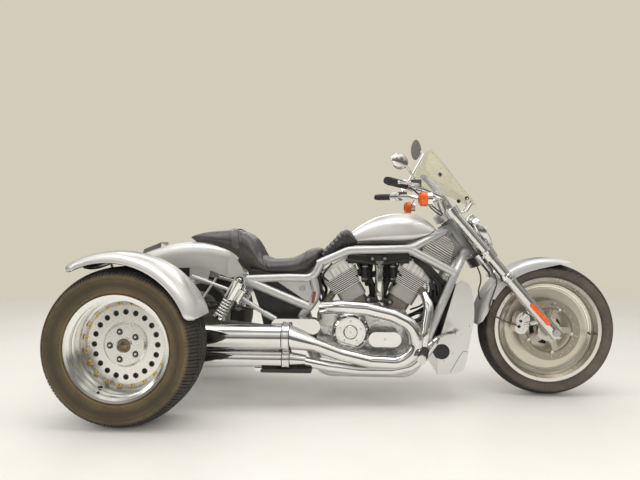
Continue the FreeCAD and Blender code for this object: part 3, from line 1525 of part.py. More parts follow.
def make_muffler_clamp():
    """Strap round both mufflers, its hanger to the swingarm's side, and the tray under the pipes."""
    gap = S.seat_gap
    middle_x = S.muffler_front_x + 2
    straps = []
    for name, level, radius in (("upper", S.upper_muffler_z, S.upper_muffler_radius),
                                ("lower", S.lower_muffler_z, S.lower_muffler_radius)):
        straps.append(rod(f"strap_{name}", (middle_x - 16, -S.muffler_half, level),
                          (middle_x + 16, -S.muffler_half, level), radius + 5))
    link = box("strap_link", (middle_x, -S.muffler_half + 14, (S.upper_muffler_z + S.lower_muffler_z) / 2),
               (32, 64, 60))
    hanger = box("hanger", (middle_x, -S.frame_half - 42, 300), (32, 130, 20))
    reach = S.cover_height / 2
    flat = (S.cover_front_x - S.cover_rear_x) / 2 - reach
    cover = plate("pipe_cover", [
        (-flat, -reach),
        (flat, -reach, -reach),
        (flat + reach, 0, -reach),
        (flat, reach),
        (-flat, reach, -reach),
        (-flat - reach, 0, -reach),
    ], 60)
    place(cover, ((S.cover_front_x + S.cover_rear_x) / 2, -S.muffler_half + 46, S.cover_z))
    tray = box("pipe_tray", (S.muffler_front_x - 20, -S.muffler_half + 50, 170), (250, 90, 14))
    post = box("tray_post", (S.muffler_front_x - 20, -S.muffler_half + 62, 225), (40, 20, 120))
    whole = cut("muffler_clamp", fuse("clamp_whole", straps + [link, hanger, cover, tray, post]),
                [pieces["mufflers"], pieces["swingarm"], pieces["subframe"], pieces["exhaust_headers"],
                 pieces["frame_right"]])
    return piece("muffler_clamp", whole)


def make_tank():
    """Tank shaped cover between the upper frame tubes, high in the middle and falling to both ends."""
    front = S.tank_front_x
    rear = S.tank_rear_x
    base = float(S.knee_z) + 22
    span = float(front) - float(rear)
    wires = []
    for part, drop in ((0.0, 115), (0.05, 94), (0.15, 61), (0.3, 26), (0.45, 7), (0.6, 1), (0.75, 12), (0.88, 46),
                       (0.97, 96)):
        x = float(rear) + span * part
        lift = max(0.0, part - 0.55)
        floor = base + lift * lift * 330
        top = float(S.tank_top_z) - drop
        half = float(S.tank_half) * (1 - 0.30 * (1 - part) ** 3 - 0.72 * lift ** 1.5)
        middle = floor + (top - floor) * 0.30
        wires.append(oval_wire(x, middle, half, top - middle, middle - floor, 2.5))
    blank = loft_through("tank_blank", wires)
    return piece("tank_cover", cut("tank_cover", blank, [pieces["frame_right"], pieces["frame_left"],
                                                         pieces["steering_head"]]))


def make_airbox():
    """Black airbox and tank floor below the cover, over the cylinders."""
    block = box("airbox_block", (S.kink_x * 0.45, 0, 690), (300, 200, 84))
    whole = cut("airbox", block, [pieces["tank_cover"], pieces["front_cylinder"], pieces["rear_cylinder"],
                                  pieces["frame_right"], pieces["frame_left"], pieces["centre_pipe"]])
    return piece("airbox", whole)


def make_bib():
    """Pleated leather apron over the rear of the tank cover."""
    wires = []
    for x, top, floor, half in ((24, 772, 744, 120), (0, 795, 730, 124), (-37, 816, 722, 126), (-60, 800, 712, 126),
                                (-100, 757, 686, 122), (-140, 716, 662, 114), (-153, 702, 672, 106)):
        middle = (top + floor) / 2
        wires.append(oval_wire(x, middle, half, top - middle, middle - floor, 3.6))
    blank = loft_through("bib_blank", wires)
    whole = cut("tank_bib", blank, [pieces["tank_cover"], pieces["airbox"], pieces["frame_right"],
                                    pieces["frame_left"]])
    return piece("tank_bib", whole)


def make_seat():
    """Dished rider's seat with its raised back and the passenger's pad behind it."""
    stations = [
        (-151, 716, 700, 60),
        (-168, 728, 668, 96),
        (-186, 727, 636, 116),
        (-212, 717, 602, 132),
        (-242, 698, 590, 144),
        (-290, 672, 587, 150),
        (-350, 661, 587, 152),
        (-410, 660, 588, 150),
        (-440, 672, 590, 148),
        (-470, 716, 592, 144),
        (-505, 776, 598, 138),
        (-540, 797, 620, 130),
        (-580, 806, 661, 122),
        (-640, 808, 697, 108),
        (-700, 803, 726, 94),
        (-760, 796, 747, 76),
        (-812, 783, 762, 50),
        (-836, 773, 765, 26),
    ]
    wires = []
    for x, top, floor, half in stations:
        middle = (top + floor) / 2
        wires.append(oval_wire(x, middle, half, top - middle, middle - floor, 3.0))
    blank = loft_through("seat_blank", wires)
    whole = cut("seat", blank, [pieces["tail_fender"], pieces["tank_bib"], pieces["subframe"]])
    return piece("seat", whole)


def make_tail_fender():
    """Long crowned tail fender behind the seat, a bent sheet round the middle plane."""
    outer = S.tail_radius
    half = S.tail_half
    sheet_wall = S.fender_sheet + 1
    shell = turned("tail_shell", [
        (-half, outer - 150),
        (sheet_wall - half, outer - 150),
        (sheet_wall - half, outer - 62, 58),
        (56 - half, outer - sheet_wall),
        (half - 56, outer - sheet_wall, 58),
        (half - sheet_wall, outer - 62),
        (half - sheet_wall, outer - 150),
        (half, outer - 150),
        (half, outer - 62, -62),
        (half - 56, outer),
        (56 - half, outer, -62),
        (-half, outer - 62),
    ], 42)
    place(shell, (S.tail_x, 0, S.tail_z - S.tail_radius), Rotation(Vector(0, 1, 0), 66.5) * ALONG_Y)
    lower = plate("tail_lower_cut", [
        (-1140, 300),
        (-540, 300),
        (-540, 572),
        (-613, 576),
        (-744, 628),
        (-866, 624),
        (-990, 640),
        (-1078, 684),
        (-1140, 690),
    ], 400)
    sheet_cut = cut("tail_sheet", shell, [lower])
    struts = []
    for name, sign in (("right", -1), ("left", 1)):
        side = (S.tail_half - 8) * sign
        start = (S.shock_top_x - 36, (S.frame_half + 22) * sign, S.shock_top_z - 62)
        struts.append(rod(f"tail_strut_{name}", start, (-800, side, 584), 8))
        bracket = plate(f"tail_bracket_{name}", [
            (-812, 664),
            (-812, 570),
            (-722, 560),
            (-700, 664),
        ], 8)
        struts.append(place(bracket, (0, side, 0)))
    whole = cut("tail_fender", fuse("tail_whole", [sheet_cut] + struts), [pieces["subframe"]])
    return piece("tail_fender", whole)


def make_tail_lamp():
    """Slanted tail lamp on the end of the tail fender."""
    body = plate("lamp_blank", [
        (-1090, 664),
        (-1070, 716),
        (-978, 752),
        (-986, 700),
    ], 96)
    return piece("tail_lamp", cut("tail_lamp", body, [pieces["tail_fender"]]))


def make_fuel_cell():
    """Black fuel tank under the seat, between the subframe rails."""
    body = plate("cell_blank", [
        (-512, 622),
        (-500, 560),
        (-452, 430),
        (-432, 340),
        (-250, 330),
        (-232, 622),
    ], 2 * (S.frame_half - 7))
    return piece("fuel_cell", cut("fuel_cell", body, [pieces["subframe"], pieces["seat"], pieces["swingarm"],
                                                      pieces["tail_fender"], pieces["crankcase"],
                                                      pieces["frame_right"], pieces["frame_left"]]))


def make_radiator():
    """Radiator between the downtubes with its shroud: two silver cheeks joined by a chin."""
    core = plate("core_blank", [
        (452, 560),
        (404, 210),
        (446, 204),
        (494, 552),
    ], 2 * (S.frame_half - 38))
    piece("radiator", cut("radiator", core, [pieces["frame_right"], pieces["frame_left"]]))
    outer = plate("shroud_blank", [
        (505, 574),
        (482, 560),
        (404, 300),
        (372, 232),
        (334, 128),
        (470, 138, -60),
        (524, 176),
        (548, 320, -420),
        (554, 517, -60),
    ], 2 * (S.frame_half + 34))
    opening = box("shroud_inside", (500, 0, 372), (500, 2 * (S.frame_half + 34) - 16, 330))
    top = box("shroud_top", (500, 0, 580), (500, 2 * (S.frame_half + 34) - 16, 120))
    tubes = box("shroud_tubes", (330, 0, 400), (130, 460, 700))
    arm = rod("shroud_round", (414, -300, 241), (414, 300, 241), 36)
    whole = cut("radiator_shroud", outer, [opening, top, tubes, arm, pieces["radiator"], pieces["frame_right"],
                                           pieces["frame_left"]])
    return piece("radiator_shroud", whole)


def make_side_grilles():
    """Louvred panel in each triangle below the upper frame tube."""
    half = S.frame_half - 14
    panel = plate("panel_blank", [
        (332, 702),
        (340, 738),
        (462, 796),
        (508, 734),
        (482, 642),
    ], 8)
    margin = plate("grille_margin", [
        (336, 703),
        (344, 736),
        (461, 791),
        (503, 733),
        (480, 647),
    ], 60)
    outside = cut("grille_outside", box("grille_block", (420, 0, 720), (400, 40, 400)), [margin])
    bars = []
    for step in range(9):
        low_x = 345 + 0.5 * (9 + 12 * step)
        low_z = 712 + 0.866 * (9 + 12 * step)
        bars.append(plate(f"louvre_{step}", [
            (low_x - 52, low_z + 30),
            (low_x + 190, low_z - 110),
            (low_x + 193, low_z - 105),
            (low_x - 49, low_z + 35),
        ], 9))
    louvres = cut("louvres", fuse("louvre_bars", bars), [outside])
    place(louvres, (0, -8, 0))
    flat = fuse("grille_flat", [panel, louvres])
    swing = Rotation(Vector(0, 0, 1), 20)
    hinge = Vector(332, 0, 0)
    flat.Placement = Placement(hinge - swing.multVec(hinge) + Vector(0, 26 - float(half), 0), swing)
    whole = cut("grille_right", flat, [pieces["frame_right"], pieces["steering_head"]])
    return piece("side_grilles", both_sides("side_grilles", whole))


def make_belt():
    """Toothed drive belt on the left with its two pulleys."""
    side = S.frame_half + 38
    front = Vector(float(S.pivot_x) + 85, 0, float(S.pivot_z) + 7)
    rear = Vector(float(rear_axle_x), 0, float(rear_axle_z))
    small, large = 52.0, 112.0
    pulleys = [rod("small_pulley", (front.x, side - 14, front.z), (front.x, side + 14, front.z), small),
               rod("large_pulley", (rear.x, side - 14, rear.z), (rear.x, side + 14, rear.z), large)]
    shaft = rod("pulley_shaft", (front.x, S.case_half - 20, front.z), (front.x, side, front.z), 20)
    way = rear - front
    swing = math.asin((large - small) / way.Length)
    tilt = math.atan2(way.z, way.x)

    def loop(extra):
        points = []
        for sign in (1, -1):
            normal = tilt + sign * (math.pi / 2 + swing)
            across = Vector(math.cos(normal), 0, math.sin(normal))
            ends = [front + across * (small + extra), rear + across * (large + extra)]
            points.append(ends if sign > 0 else list(reversed(ends)))
        upper, lower = points
        edges = [Part.LineSegment(upper[0], upper[1]).toShape(),
                 Part.Arc(upper[1], rear + way.normalize() * (large + extra), lower[0]).toShape(),
                 Part.LineSegment(lower[0], lower[1]).toShape(),
                 Part.Arc(lower[1], front - way.normalize() * (small + extra), upper[0]).toShape()]
        return Part.Face(Part.Wire(edges)).extrude(Vector(0, 24, 0))

    band = loop(5).cut(loop(0))
    band.translate(Vector(0, float(side) - 12, 0))
    belt = solid_feature("belt", band)
    wheels = cut("pulleys", fuse("pulleys_whole", pulleys[:1] + [shaft]),
                 [pieces["crankcase"], pieces["frame_left"], pieces["subframe"], pieces["swingarm"]])
    rear_pulley = cut("rear_pulley", pulleys[1], [pieces["rear_axle"], pieces["swingarm"]])
    belt_cut = cut("belt_cut", belt, [pieces["swingarm"], pieces["subframe"]])
    return piece("belt_drive", group("belt_drive", [wheels, rear_pulley, belt_cut]))


def make_rear_fender(side, sign):
    """Cycle fender over one rear wheel, with its stay to the axle tube."""
    outer = S.rear_fender_radius
    inner = outer - S.fender_sheet
    half = S.rear_fender_half
    edge = outer - S.rear_fender_depth
    body = turned(f"rear_fender_sheet_{side}", [
        (-half, edge),
        (S.fender_sheet - half, edge),
        (S.fender_sheet - half, inner - 16, 30),
        (24 - half, inner - 2, 360),
        (half - 24, inner - 2, 30),
        (half - S.fender_sheet, inner - 16),
        (half - S.fender_sheet, edge),
        (half, edge),
        (half, inner - 16, -33),
        (half - 24, outer - 2, -360),
        (24 - half, outer - 2, -33),
        (-half, inner - 16),
    ], S.rear_fender_sweep)
    middle = (rear_axle_x - S.rear_fender_back, track_half * sign, rear_axle_z + S.rear_fender_up)
    place(body, middle, Rotation(Vector(0, 1, 0), float(S.rear_fender_start)) * ALONG_Y)
    inner_side = (track_half - half) * sign
    foot = (rear_axle_x, (track_half - half - 14) * sign, rear_axle_z + S.axle_tube - 4)
    stays = []
    for name, angle in (("rear", 72), ("front", 128)):
        turn = math.radians(angle)
        reach = float(outer) - 14
        x = middle[0] - reach * math.cos(turn)
        z = middle[2] + reach * math.sin(turn)
        top = (x, inner_side - 3 * sign, z)
        low = (rear_axle_x + (20 if angle > 90 else -20), foot[1], foot[2])
        stays.append(rod(f"stay_{name}_{side}", low, top, 7))
    chips = []
    for name, edge_sign, turn_by in (("outer", sign, 45 * (3 if sign < 0 else 1)),
                                     ("inner", -sign, 45 * (1 if sign < 0 else 3))):
        chip = plate(f"fender_chip_{name}_{side}", [
            (0, 0),
            (300, 0),
            (300, 150),
            (0, 150),
        ], 400)
        turn_chip = Rotation(Vector(0, 0, 1), turn_by)
        corner_x = middle[0] - 187
        corner_y = middle[1] + (half - 31) * edge_sign
        start_chip = turn_chip.multVec(Vector(-150, 0, 0))
        place(chip, (float(corner_x) + start_chip.x, float(corner_y) + start_chip.y, 650),
              turn_chip * Rotation(Vector(1, 0, 0), -90))
        chips.append(chip)
    whole = cut(f"rear_fender_{side}", fuse(f"rear_fender_whole_{side}", [body] + stays),
                [pieces["rear_axle"]] + chips)
    return piece(f"rear_fender_{side}", whole)


def make_foot_controls():
    """Forward control on each side: arm, ribbed peg and pedal with its cylinder."""
    half = S.frame_half + 12
    knuckle = (332, -half - 40, 258)
    arm = rod("control_arm", (396, -half, 294), knuckle, 14)
    joint = ball("control_joint", knuckle, 24)
    peg = rod("peg", knuckle, (300, -half - 170, 236), 20)
    elbow = (430, -half - 40, 330)
    pedal = rod("pedal", (392, -half, 300), elbow, 8)
    bend = ball("pedal_bend", elbow, 10)
    crank = rod("pedal_crank", elbow, (462, -half - 110, 352), 7.5)
    pad = rod("pedal_pad", (462, -half - 90, 352), (462, -half - 160, 352), 13)
    cylinder = rod("foot_cylinder", (384, -half - 18, 284), (314, -half - 18, 192), 19)
    whole = cut("foot_control_right", fuse("foot_whole", [arm, joint, peg, pedal, bend, crank, pad, cylinder]),
                [pieces["frame_right"], pieces["radiator_shroud"], pieces["exhaust_headers"]])
    return piece("foot_controls", both_sides("foot_controls", whole))


def main():
    """Build every sub-part in the order in which each is seated on the last."""
    make_front_tyre()
    make_front_wheel()
    make_front_rotors()
    for side, sign in (("right", -1), ("left", 1)):
        make_rear_tyre(side, sign)
        make_rear_wheel(side, sign)
    make_steering_head()
    make_frame()
    make_axle()
    make_swingarm()
    make_front_axle()
    make_fork_legs()
    make_handlebar()
    make_fork_clamps()
    make_grips()
    make_hand_controls()
    make_mirrors()
    make_turn_signals()
    make_headlamp()
    make_nacelle()
    make_windscreen()
    make_screen_brackets()
    make_front_fender()
    make_front_calipers()
    make_subframe()
    make_shocks()
    make_springs()
    make_crankcase()
    make_cylinder("front_cylinder", 1)
    make_cylinder("rear_cylinder", -1)
    make_centre_pipe()
    make_engine_covers()
    make_mufflers()
    make_headers()
    make_muffler_clamp()
    make_tank()
    make_airbox()
    make_bib()
    make_tail_fender()
    make_tail_lamp()
    make_seat()
    make_fuel_cell()
    make_radiator()
    make_side_grilles()
    make_belt()
    for side, sign in (("right", -1), ("left", 1)):
        make_rear_fender(side, sign)
    make_foot_controls()
    doc.recompute()


def check_document():
    """Stop if an object failed or a sub-part's shape is not sound."""
    faults = []
    for thing in doc.Objects:
        if "Invalid" in thing.State or "Error" in thing.State:
            faults.append(f"{thing.Name} is {thing.State}")
    for label, thing in pieces.items():
        if thing.Shape.isNull() or not thing.Shape.isValid() or not thing.Shape.Solids:
            faults.append(f"{label} has no sound solid")
    if faults:
        raise RuntimeError("; ".join(faults))


def write_pieces():
    """Write each sub-part to a file of its own name."""
    os.makedirs("parts", exist_ok=True)
    for label, thing in pieces.items():
        solids = thing.Shape.Solids
        shape = solids[0] if len(solids) == 1 else Part.makeCompound(solids)
        shape.exportStep(os.path.join("parts", label + ".step"))
        print(f"{label}: {len(solids)} solids, {thing.Shape.Volume / 1000:.0f} cm3")


main()
check_document()
write_pieces()
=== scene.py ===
"""Looks of the three-wheeled cruiser: finishes, treaded tyres, cushions, lamps, hoses and fixings."""

import math

import bmesh
import bpy
import numpy as np
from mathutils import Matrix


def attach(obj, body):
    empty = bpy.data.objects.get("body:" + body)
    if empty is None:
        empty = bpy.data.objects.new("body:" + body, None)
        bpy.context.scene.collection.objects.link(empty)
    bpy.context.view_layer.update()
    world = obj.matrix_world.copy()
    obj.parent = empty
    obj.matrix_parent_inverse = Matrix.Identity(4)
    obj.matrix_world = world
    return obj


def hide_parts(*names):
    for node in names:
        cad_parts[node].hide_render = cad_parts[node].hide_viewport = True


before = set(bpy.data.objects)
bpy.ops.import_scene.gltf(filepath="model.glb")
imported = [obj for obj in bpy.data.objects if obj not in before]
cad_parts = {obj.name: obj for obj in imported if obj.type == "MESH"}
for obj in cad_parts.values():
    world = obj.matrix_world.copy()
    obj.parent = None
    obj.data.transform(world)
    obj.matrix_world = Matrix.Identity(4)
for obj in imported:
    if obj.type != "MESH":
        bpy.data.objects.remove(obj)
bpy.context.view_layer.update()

# Places and measures of the part that its fittings share, in metres
FRONT_AXLE = (0.951, 0.0, 0.325)
REAR_AXLE_X = -0.949
REAR_AXLE_Z = 0.327
TRACK_HALF = 0.505
HUB_FACE = 0.5255
TREAD_EDGE = 0.300
AXLE_TOP = 0.3590
FENDER_CENTRE = (-0.975, 0.0, 0.340)
CRANK = (0.121, 0.0, 0.281)
CLUTCH_COVER = (-0.012, 0.0, 0.331)
LAMP_CENTRE = np.array([0.640, 0.0, 0.806])
LAMP_TILT = math.radians(30)
LAMP_WAY = np.array([math.cos(LAMP_TILT), 0.0, math.sin(LAMP_TILT)])
LEG_WAY = np.array([-0.6388, 0.0, 0.7694])
LEAN_OF_V = 30.7
SKIRT = ((-0.586, 0.6946), (-0.5555, 0.6645), (-0.528, 0.6223), (-0.525, 0.5937), (-0.5494, 0.5876),
         (-0.6028, 0.5843), (-0.6028, 0.6583))
BOTH = (("right", -1.0), ("left", 1.0))

# Colours that several finishes share
DUST = (0.50, 0.46, 0.40)
SPARK = (0.95, 0.95, 0.96)
BACKDROP = (0.645, 0.610, 0.491)

# Points nearer to each other than this become one, in metres
MERGE = 2e-5

# Hoses and wires of the engine's right side: half thickness, then the points that each runs through
ENGINE_HOSES = (
    (0.0080, ((-0.150, -0.128, 0.655), (-0.168, -0.130, 0.605), (-0.162, -0.128, 0.545),
              (-0.142, -0.126, 0.500), (-0.145, -0.118, 0.452), (-0.120, -0.100, 0.400))),
    (0.0060, ((-0.130, -0.110, 0.665), (-0.182, -0.118, 0.590), (-0.176, -0.112, 0.520),
              (-0.160, -0.110, 0.470), (-0.130, -0.090, 0.410))),
    (0.0042, ((-0.110, -0.095, 0.640), (-0.145, -0.105, 0.590), (-0.120, -0.098, 0.560))),
    (0.0042, ((0.020, -0.085, 0.650), (0.034, -0.096, 0.612), (0.016, -0.090, 0.585))),
    (0.0042, ((0.225, -0.085, 0.650), (0.214, -0.098, 0.616), (0.236, -0.092, 0.588))),
    (0.0110, ((0.300, -0.088, 0.668), (0.362, -0.106, 0.612), (0.412, -0.112, 0.545), (0.424, -0.110, 0.480),
              (0.400, -0.104, 0.425), (0.350, -0.098, 0.390), (0.262, -0.090, 0.350))),
    (0.0130, ((0.285, -0.070, 0.675), (0.352, -0.090, 0.640), (0.404, -0.098, 0.590),
              (0.440, -0.096, 0.545))),
    (0.0048, ((0.315, -0.100, 0.660), (0.372, -0.122, 0.575), (0.392, -0.124, 0.520), (0.384, -0.118, 0.460),
              (0.362, -0.108, 0.420), (0.300, -0.080, 0.400))),
    (0.0040, ((0.330, -0.105, 0.640), (0.398, -0.126, 0.560), (0.410, -0.126, 0.505),
              (0.398, -0.120, 0.440))),
    (0.0170, ((0.086, -0.030, 0.648), (0.080, -0.034, 0.580), (0.098, -0.030, 0.520),
              (0.104, -0.020, 0.450))),
    (0.0170, ((0.168, -0.030, 0.648), (0.176, -0.034, 0.580), (0.158, -0.030, 0.520),
              (0.146, -0.020, 0.450))),
    (0.0120, ((0.030, -0.045, 0.640), (0.062, -0.050, 0.600), (0.088, -0.045, 0.560), (0.118, -0.030, 0.500),
              (0.120, -0.020, 0.450))),
    (0.0120, ((0.220, -0.045, 0.640), (0.192, -0.050, 0.600), (0.166, -0.045, 0.560), (0.140, -0.030, 0.500),
              (0.136, -0.020, 0.450))),
    (0.0140, ((0.020, -0.020, 0.600), (0.070, -0.028, 0.585), (0.125, -0.024, 0.592), (0.180, -0.028, 0.583),
              (0.232, -0.020, 0.600))),
    (0.0060, ((0.060, -0.060, 0.566), (0.096, -0.066, 0.545), (0.100, -0.062, 0.505),
              (0.084, -0.050, 0.470))),
    (0.0060, ((0.194, -0.060, 0.566), (0.160, -0.066, 0.545), (0.156, -0.062, 0.505),
              (0.168, -0.050, 0.470))),
    (0.0070, ((-0.035, -0.098, 0.664), (0.040, -0.108, 0.656), (0.130, -0.110, 0.648), (0.210, -0.108, 0.657),
              (0.285, -0.096, 0.668))),
    (0.0055, ((-0.030, -0.096, 0.690), (0.060, -0.107, 0.684), (0.180, -0.106, 0.688),
              (0.280, -0.094, 0.700))),
)


def unit(vectors):
    """Each vector divided by its length."""
    vectors = np.asarray(vectors, float)
    return vectors / np.linalg.norm(vectors, axis=-1, keepdims=True)


def axes_for(directions):
    """For each direction two unit vectors square to it and to each other, and the direction itself."""
    out = unit(np.atleast_2d(directions))
    helper = np.where(np.abs(out[:, 2:3]) < 0.9, [[0.0, 0.0, 1.0]], [[1.0, 0.0, 0.0]])
    side = unit(np.cross(helper, out))
    return side, np.cross(out, side), out


def surface(points, round_rows=False, round_columns=False):
    """Quads between neighbours of a grid of points; one that goes round joins its last line to its first."""
    rows, columns = points.shape[:2]
    index = np.arange(rows * columns).reshape(rows, columns)
    if round_rows:
        index = np.vstack([index, index[:1]])
    if round_columns:
        index = np.hstack([index, index[:, :1]])
    faces = np.stack([index[:-1, :-1], index[1:, :-1], index[1:, 1:], index[:-1, 1:]], axis=-1)
    return points.reshape(-1, 3), faces.reshape(-1, 4)


def turned(profile, centre=(0, 0, 0), axis=(0, 0, 1), steps=24, begin=0.0, closed=False):
    """Revolved profile: along times the axis, plus radius times the cosine and sine of the angle round it.

    The profile is (along, radius) points. A closed one is the cross section of a ring."""
    profile = np.asarray(profile, float)
    side, up, way = (vectors[0] for vectors in axes_for(axis))
    angle = begin + np.linspace(0, 2 * math.pi, steps, endpoint=False)
    ring = np.cos(angle)[:, None] * side + np.sin(angle)[:, None] * up
    points = profile[None, :, 1:2] * ring[:, None] + profile[None, :, 0:1] * way + np.asarray(centre, float)
    return surface(points, round_rows=True, round_columns=closed)


def slab(low, high, inner, outer):
    """Rectangle of a flat disc or ring, as (along, radius) points."""
    return [(low, inner), (low, outer), (high, outer), (high, inner)]


def through(points, count):
    """Smooth way through points: on each leg the cubic of the four nearest points, all legs at once."""
    spots = np.asarray(points, float)
    spots = np.vstack([2 * spots[0] - spots[1], spots, 2 * spots[-1] - spots[-2]])
    legs = len(spots) - 3
    place = np.linspace(0, legs, count)
    leg = np.minimum(place.astype(int), legs - 1)
    part = (place - leg)[:, None]
    before, start, end, after = spots[leg], spots[leg + 1], spots[leg + 2], spots[leg + 3]
    return 0.5 * (2 * start + (end - before) * part + (2 * before - 5 * start + 4 * end - after) * part ** 2
                  + (3 * start - before - 3 * end + after) * part ** 3)


def hose(points, radius, count, sides=12):
    """Round hose: radius times a circle square to the way's tangent at each point, with closed ends.

    The circle starts from a direction that is mostly across the trike, which no hose follows for long."""
    way = through(points, count)
    tangent = unit(np.gradient(way, axis=0))
    side = unit(np.cross(np.array([0.05, 1.0, 0.1]), tangent))
    up = np.cross(tangent, side)
    way, side, up = (np.vstack([part[:1], part, part[-1:]]) for part in (way, side, up))
    thick = np.concatenate([[0.0], np.full(count, radius), [0.0]])[:, None, None]
    angle = np.linspace(0, 2 * math.pi, sides, endpoint=False)
    ring = np.cos(angle)[None, :, None] * side[:, None] + np.sin(angle)[None, :, None] * up[:, None]
    return surface(way[:, None] + thick * ring, round_columns=True)


def rod(start, end, radius, steps=24):
    """Round bar between two points: a revolved rectangle, its rims cut by a tenth of its radius."""
    start = np.asarray(start, float)
    reach = float(np.linalg.norm(np.asarray(end, float) - start))
    edge = radius * 0.1
    profile = [(0, 0), (0, radius - edge), (edge, radius), (reach - edge, radius), (reach, radius - edge),
               (reach, 0)]
    return turned(profile, start, np.asarray(end, float) - start, steps)


def arc(start, end, bulge, count):
    """Points from start to end on a circle, its middle out of the chord by the bulge (left of the way)."""
    start, end = np.asarray(start, float), np.asarray(end, float)
    chord = np.linalg.norm(end - start)
    along = (end - start) / chord
    left = np.array([-along[1], along[0]])
    radius = (chord ** 2 / 4 + bulge ** 2) / (2 * abs(bulge))
    half = math.asin(min(1.0, chord / 2 / radius))
    turn = np.linspace(-half, half, count)
    rise = radius * (np.cos(turn) - math.cos(half)) * np.sign(bulge)
    return start + (radius * (np.sin(turn) + math.sin(half)))[:, None] * along + rise[:, None] * left


def plaque(outline, back, front, chamfer=0.0008):
    """Flat piece on an outline in X and Z: walls from one Y to another, its front edge drawn in a little."""
    outline = np.asarray(outline, float)
    middle = outline.mean(axis=0)
    out = outline - middle
    inset = middle + out * (1 - chamfer / np.linalg.norm(out, axis=1, keepdims=True))
    sign = 1.0 if front > back else -1.0
    flats = np.stack([outline * 0 + middle, outline, outline, inset, outline * 0 + middle])
    deep = np.array([back, back, front - sign * chamfer, front, front])[:, None, None]
    deep = np.broadcast_to(deep, flats[..., :1].shape)
    points = np.concatenate([flats[..., :1], deep, flats[..., 1:]], axis=-1)
    return surface(points, round_columns=True)


def long_round(start, end, half):
    """Outline with round ends about a line in X and Z: a half circle added at each end."""
    start, end = np.asarray(start, float), np.asarray(end, float)
    way = unit(end - start)
    left = np.array([-way[1], way[0]])
    turn = np.linspace(-math.pi / 2, math.pi / 2, 10)[:, None]
    bow = half * (np.cos(turn) * way + np.sin(turn) * left)
    return np.vstack([end + bow, start - bow])


def hex_head(radius, height):
    """Six sided bolt head with a chamfered top."""
    return turned([(0, 0), (0, radius), (height * 0.75, radius), (height, radius * 0.8), (height, 0)],
                  steps=6)


def socket_head(radius, height):
    """Round bolt head with a recess in its top."""
    return turned([(0, 0), (0, radius), (height * 0.85, radius), (height, radius * 0.86),
                   (height, radius * 0.52), (height * 0.5, radius * 0.46), (height * 0.5, 0)], steps=18)


def round_places(centre, radius, count, y, begin):
    """Points evenly round a circle in a plane square to Y."""
    angle = begin + np.arange(count) * 2 * math.pi / count
    return np.stack([centre[0] + radius * np.cos(angle), np.full(count, y),
                     centre[2] + radius * np.sin(angle)], -1)


def repeated(shape, centres, directions):
    """One small shape set at many places at once: its x and y square to each direction, its z along it."""
    points, faces = shape
    centres = np.atleast_2d(np.asarray(centres, float))
    directions = np.broadcast_to(np.atleast_2d(np.asarray(directions, float)), centres.shape)
    side, up, out = axes_for(directions)
    there = (points[None, :, 0:1] * side[:, None] + points[None, :, 1:2] * up[:, None]
             + points[None, :, 2:3] * out[:, None] + centres[:, None])
    shift = (np.arange(len(centres)) * len(points))[:, None, None]
    return there.reshape(-1, 3), (faces[None] + shift).reshape(-1, 4)


def aside(points, sign):
    """Points of the right side for a sign of 1, or mirrored to the left for -1."""
    return np.asarray(points, float) * (1.0, sign, 1.0)


def nearest(piece, points):
    """Places on a piece's surface nearest to the points, and the outward directions there."""
    found = [piece.closest_point_on_mesh(tuple(point))[1:3] for point in points]
    return np.array([place for place, _ in found], float), np.array([way for _, way in found], float)


def seated(node, points, sign=1.0):
    """Places on a node nearest to points of the right side, mirrored for -1, and the directions there."""
    return nearest(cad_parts[node], aside(points, sign))


def seam_line(node, points, sign, radius):
    """Thin line laid along a node's surface through a few points."""
    way, _ = nearest(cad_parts[node], through(aside(points, sign), 40))
    return hose(way, radius, 40, 6)


def make(name, parts, look, body, crease=34):
    """One object from surfaces: seams and poles merged, faces turned outward, smooth but for sharp edges."""
    starts = np.cumsum([0] + [len(points) for points, faces in parts])
    points = np.concatenate([points for points, faces in parts])
    faces = np.concatenate([faces + begin for (_, faces), begin in zip(parts, starts)])
    mesh = bpy.data.meshes.new(name)
    mesh.vertices.add(len(points))
    mesh.vertices.foreach_set("co", points.astype(np.float32).ravel())
    mesh.loops.add(faces.size)
    mesh.loops.foreach_set("vertex_index", faces.astype(np.int32).ravel())
    mesh.polygons.add(len(faces))
    mesh.polygons.foreach_set("loop_start", np.arange(len(faces), dtype=np.int32) * 4)
    mesh.update(calc_edges=True)
    work = bmesh.new()
    work.from_mesh(mesh)
    bmesh.ops.remove_doubles(work, verts=work.verts, dist=MERGE)
    bmesh.ops.recalc_face_normals(work, faces=work.faces)
    work.to_mesh(mesh)
    work.free()
    smoothed(mesh)
    mesh.set_sharp_from_angle(angle=math.radians(crease))
    mesh.materials.append(look)
    piece = placed(name, mesh)
    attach(piece, body)
    return piece


def make_all(body, rows):
    """Several pieces that ride on one body; each row is a name, its surfaces and its finish."""
    for name, parts, look in rows:
        make(name, parts, look, body)


def placed(name, data):
    """New object of the scene for a mesh, lamp or camera."""
    thing = bpy.data.objects.new(name, data)
    bpy.context.scene.collection.objects.link(thing)
    return thing


def smoothed(mesh):
    """Turns smooth shading on for all faces."""
    mesh.polygons.foreach_set("use_smooth", np.ones(len(mesh.polygons), dtype=bool))


def put(look, spot, value):
    """Feeds an input with another node's output, or sets it to a plain value or colour."""
    if isinstance(value, bpy.types.NodeSocket):
        look.node_tree.links.new(value, spot)
    elif spot.type == "RGBA" and len(value) == 3:
        spot.default_value = (*value, 1.0)
    else:
        spot.default_value = value


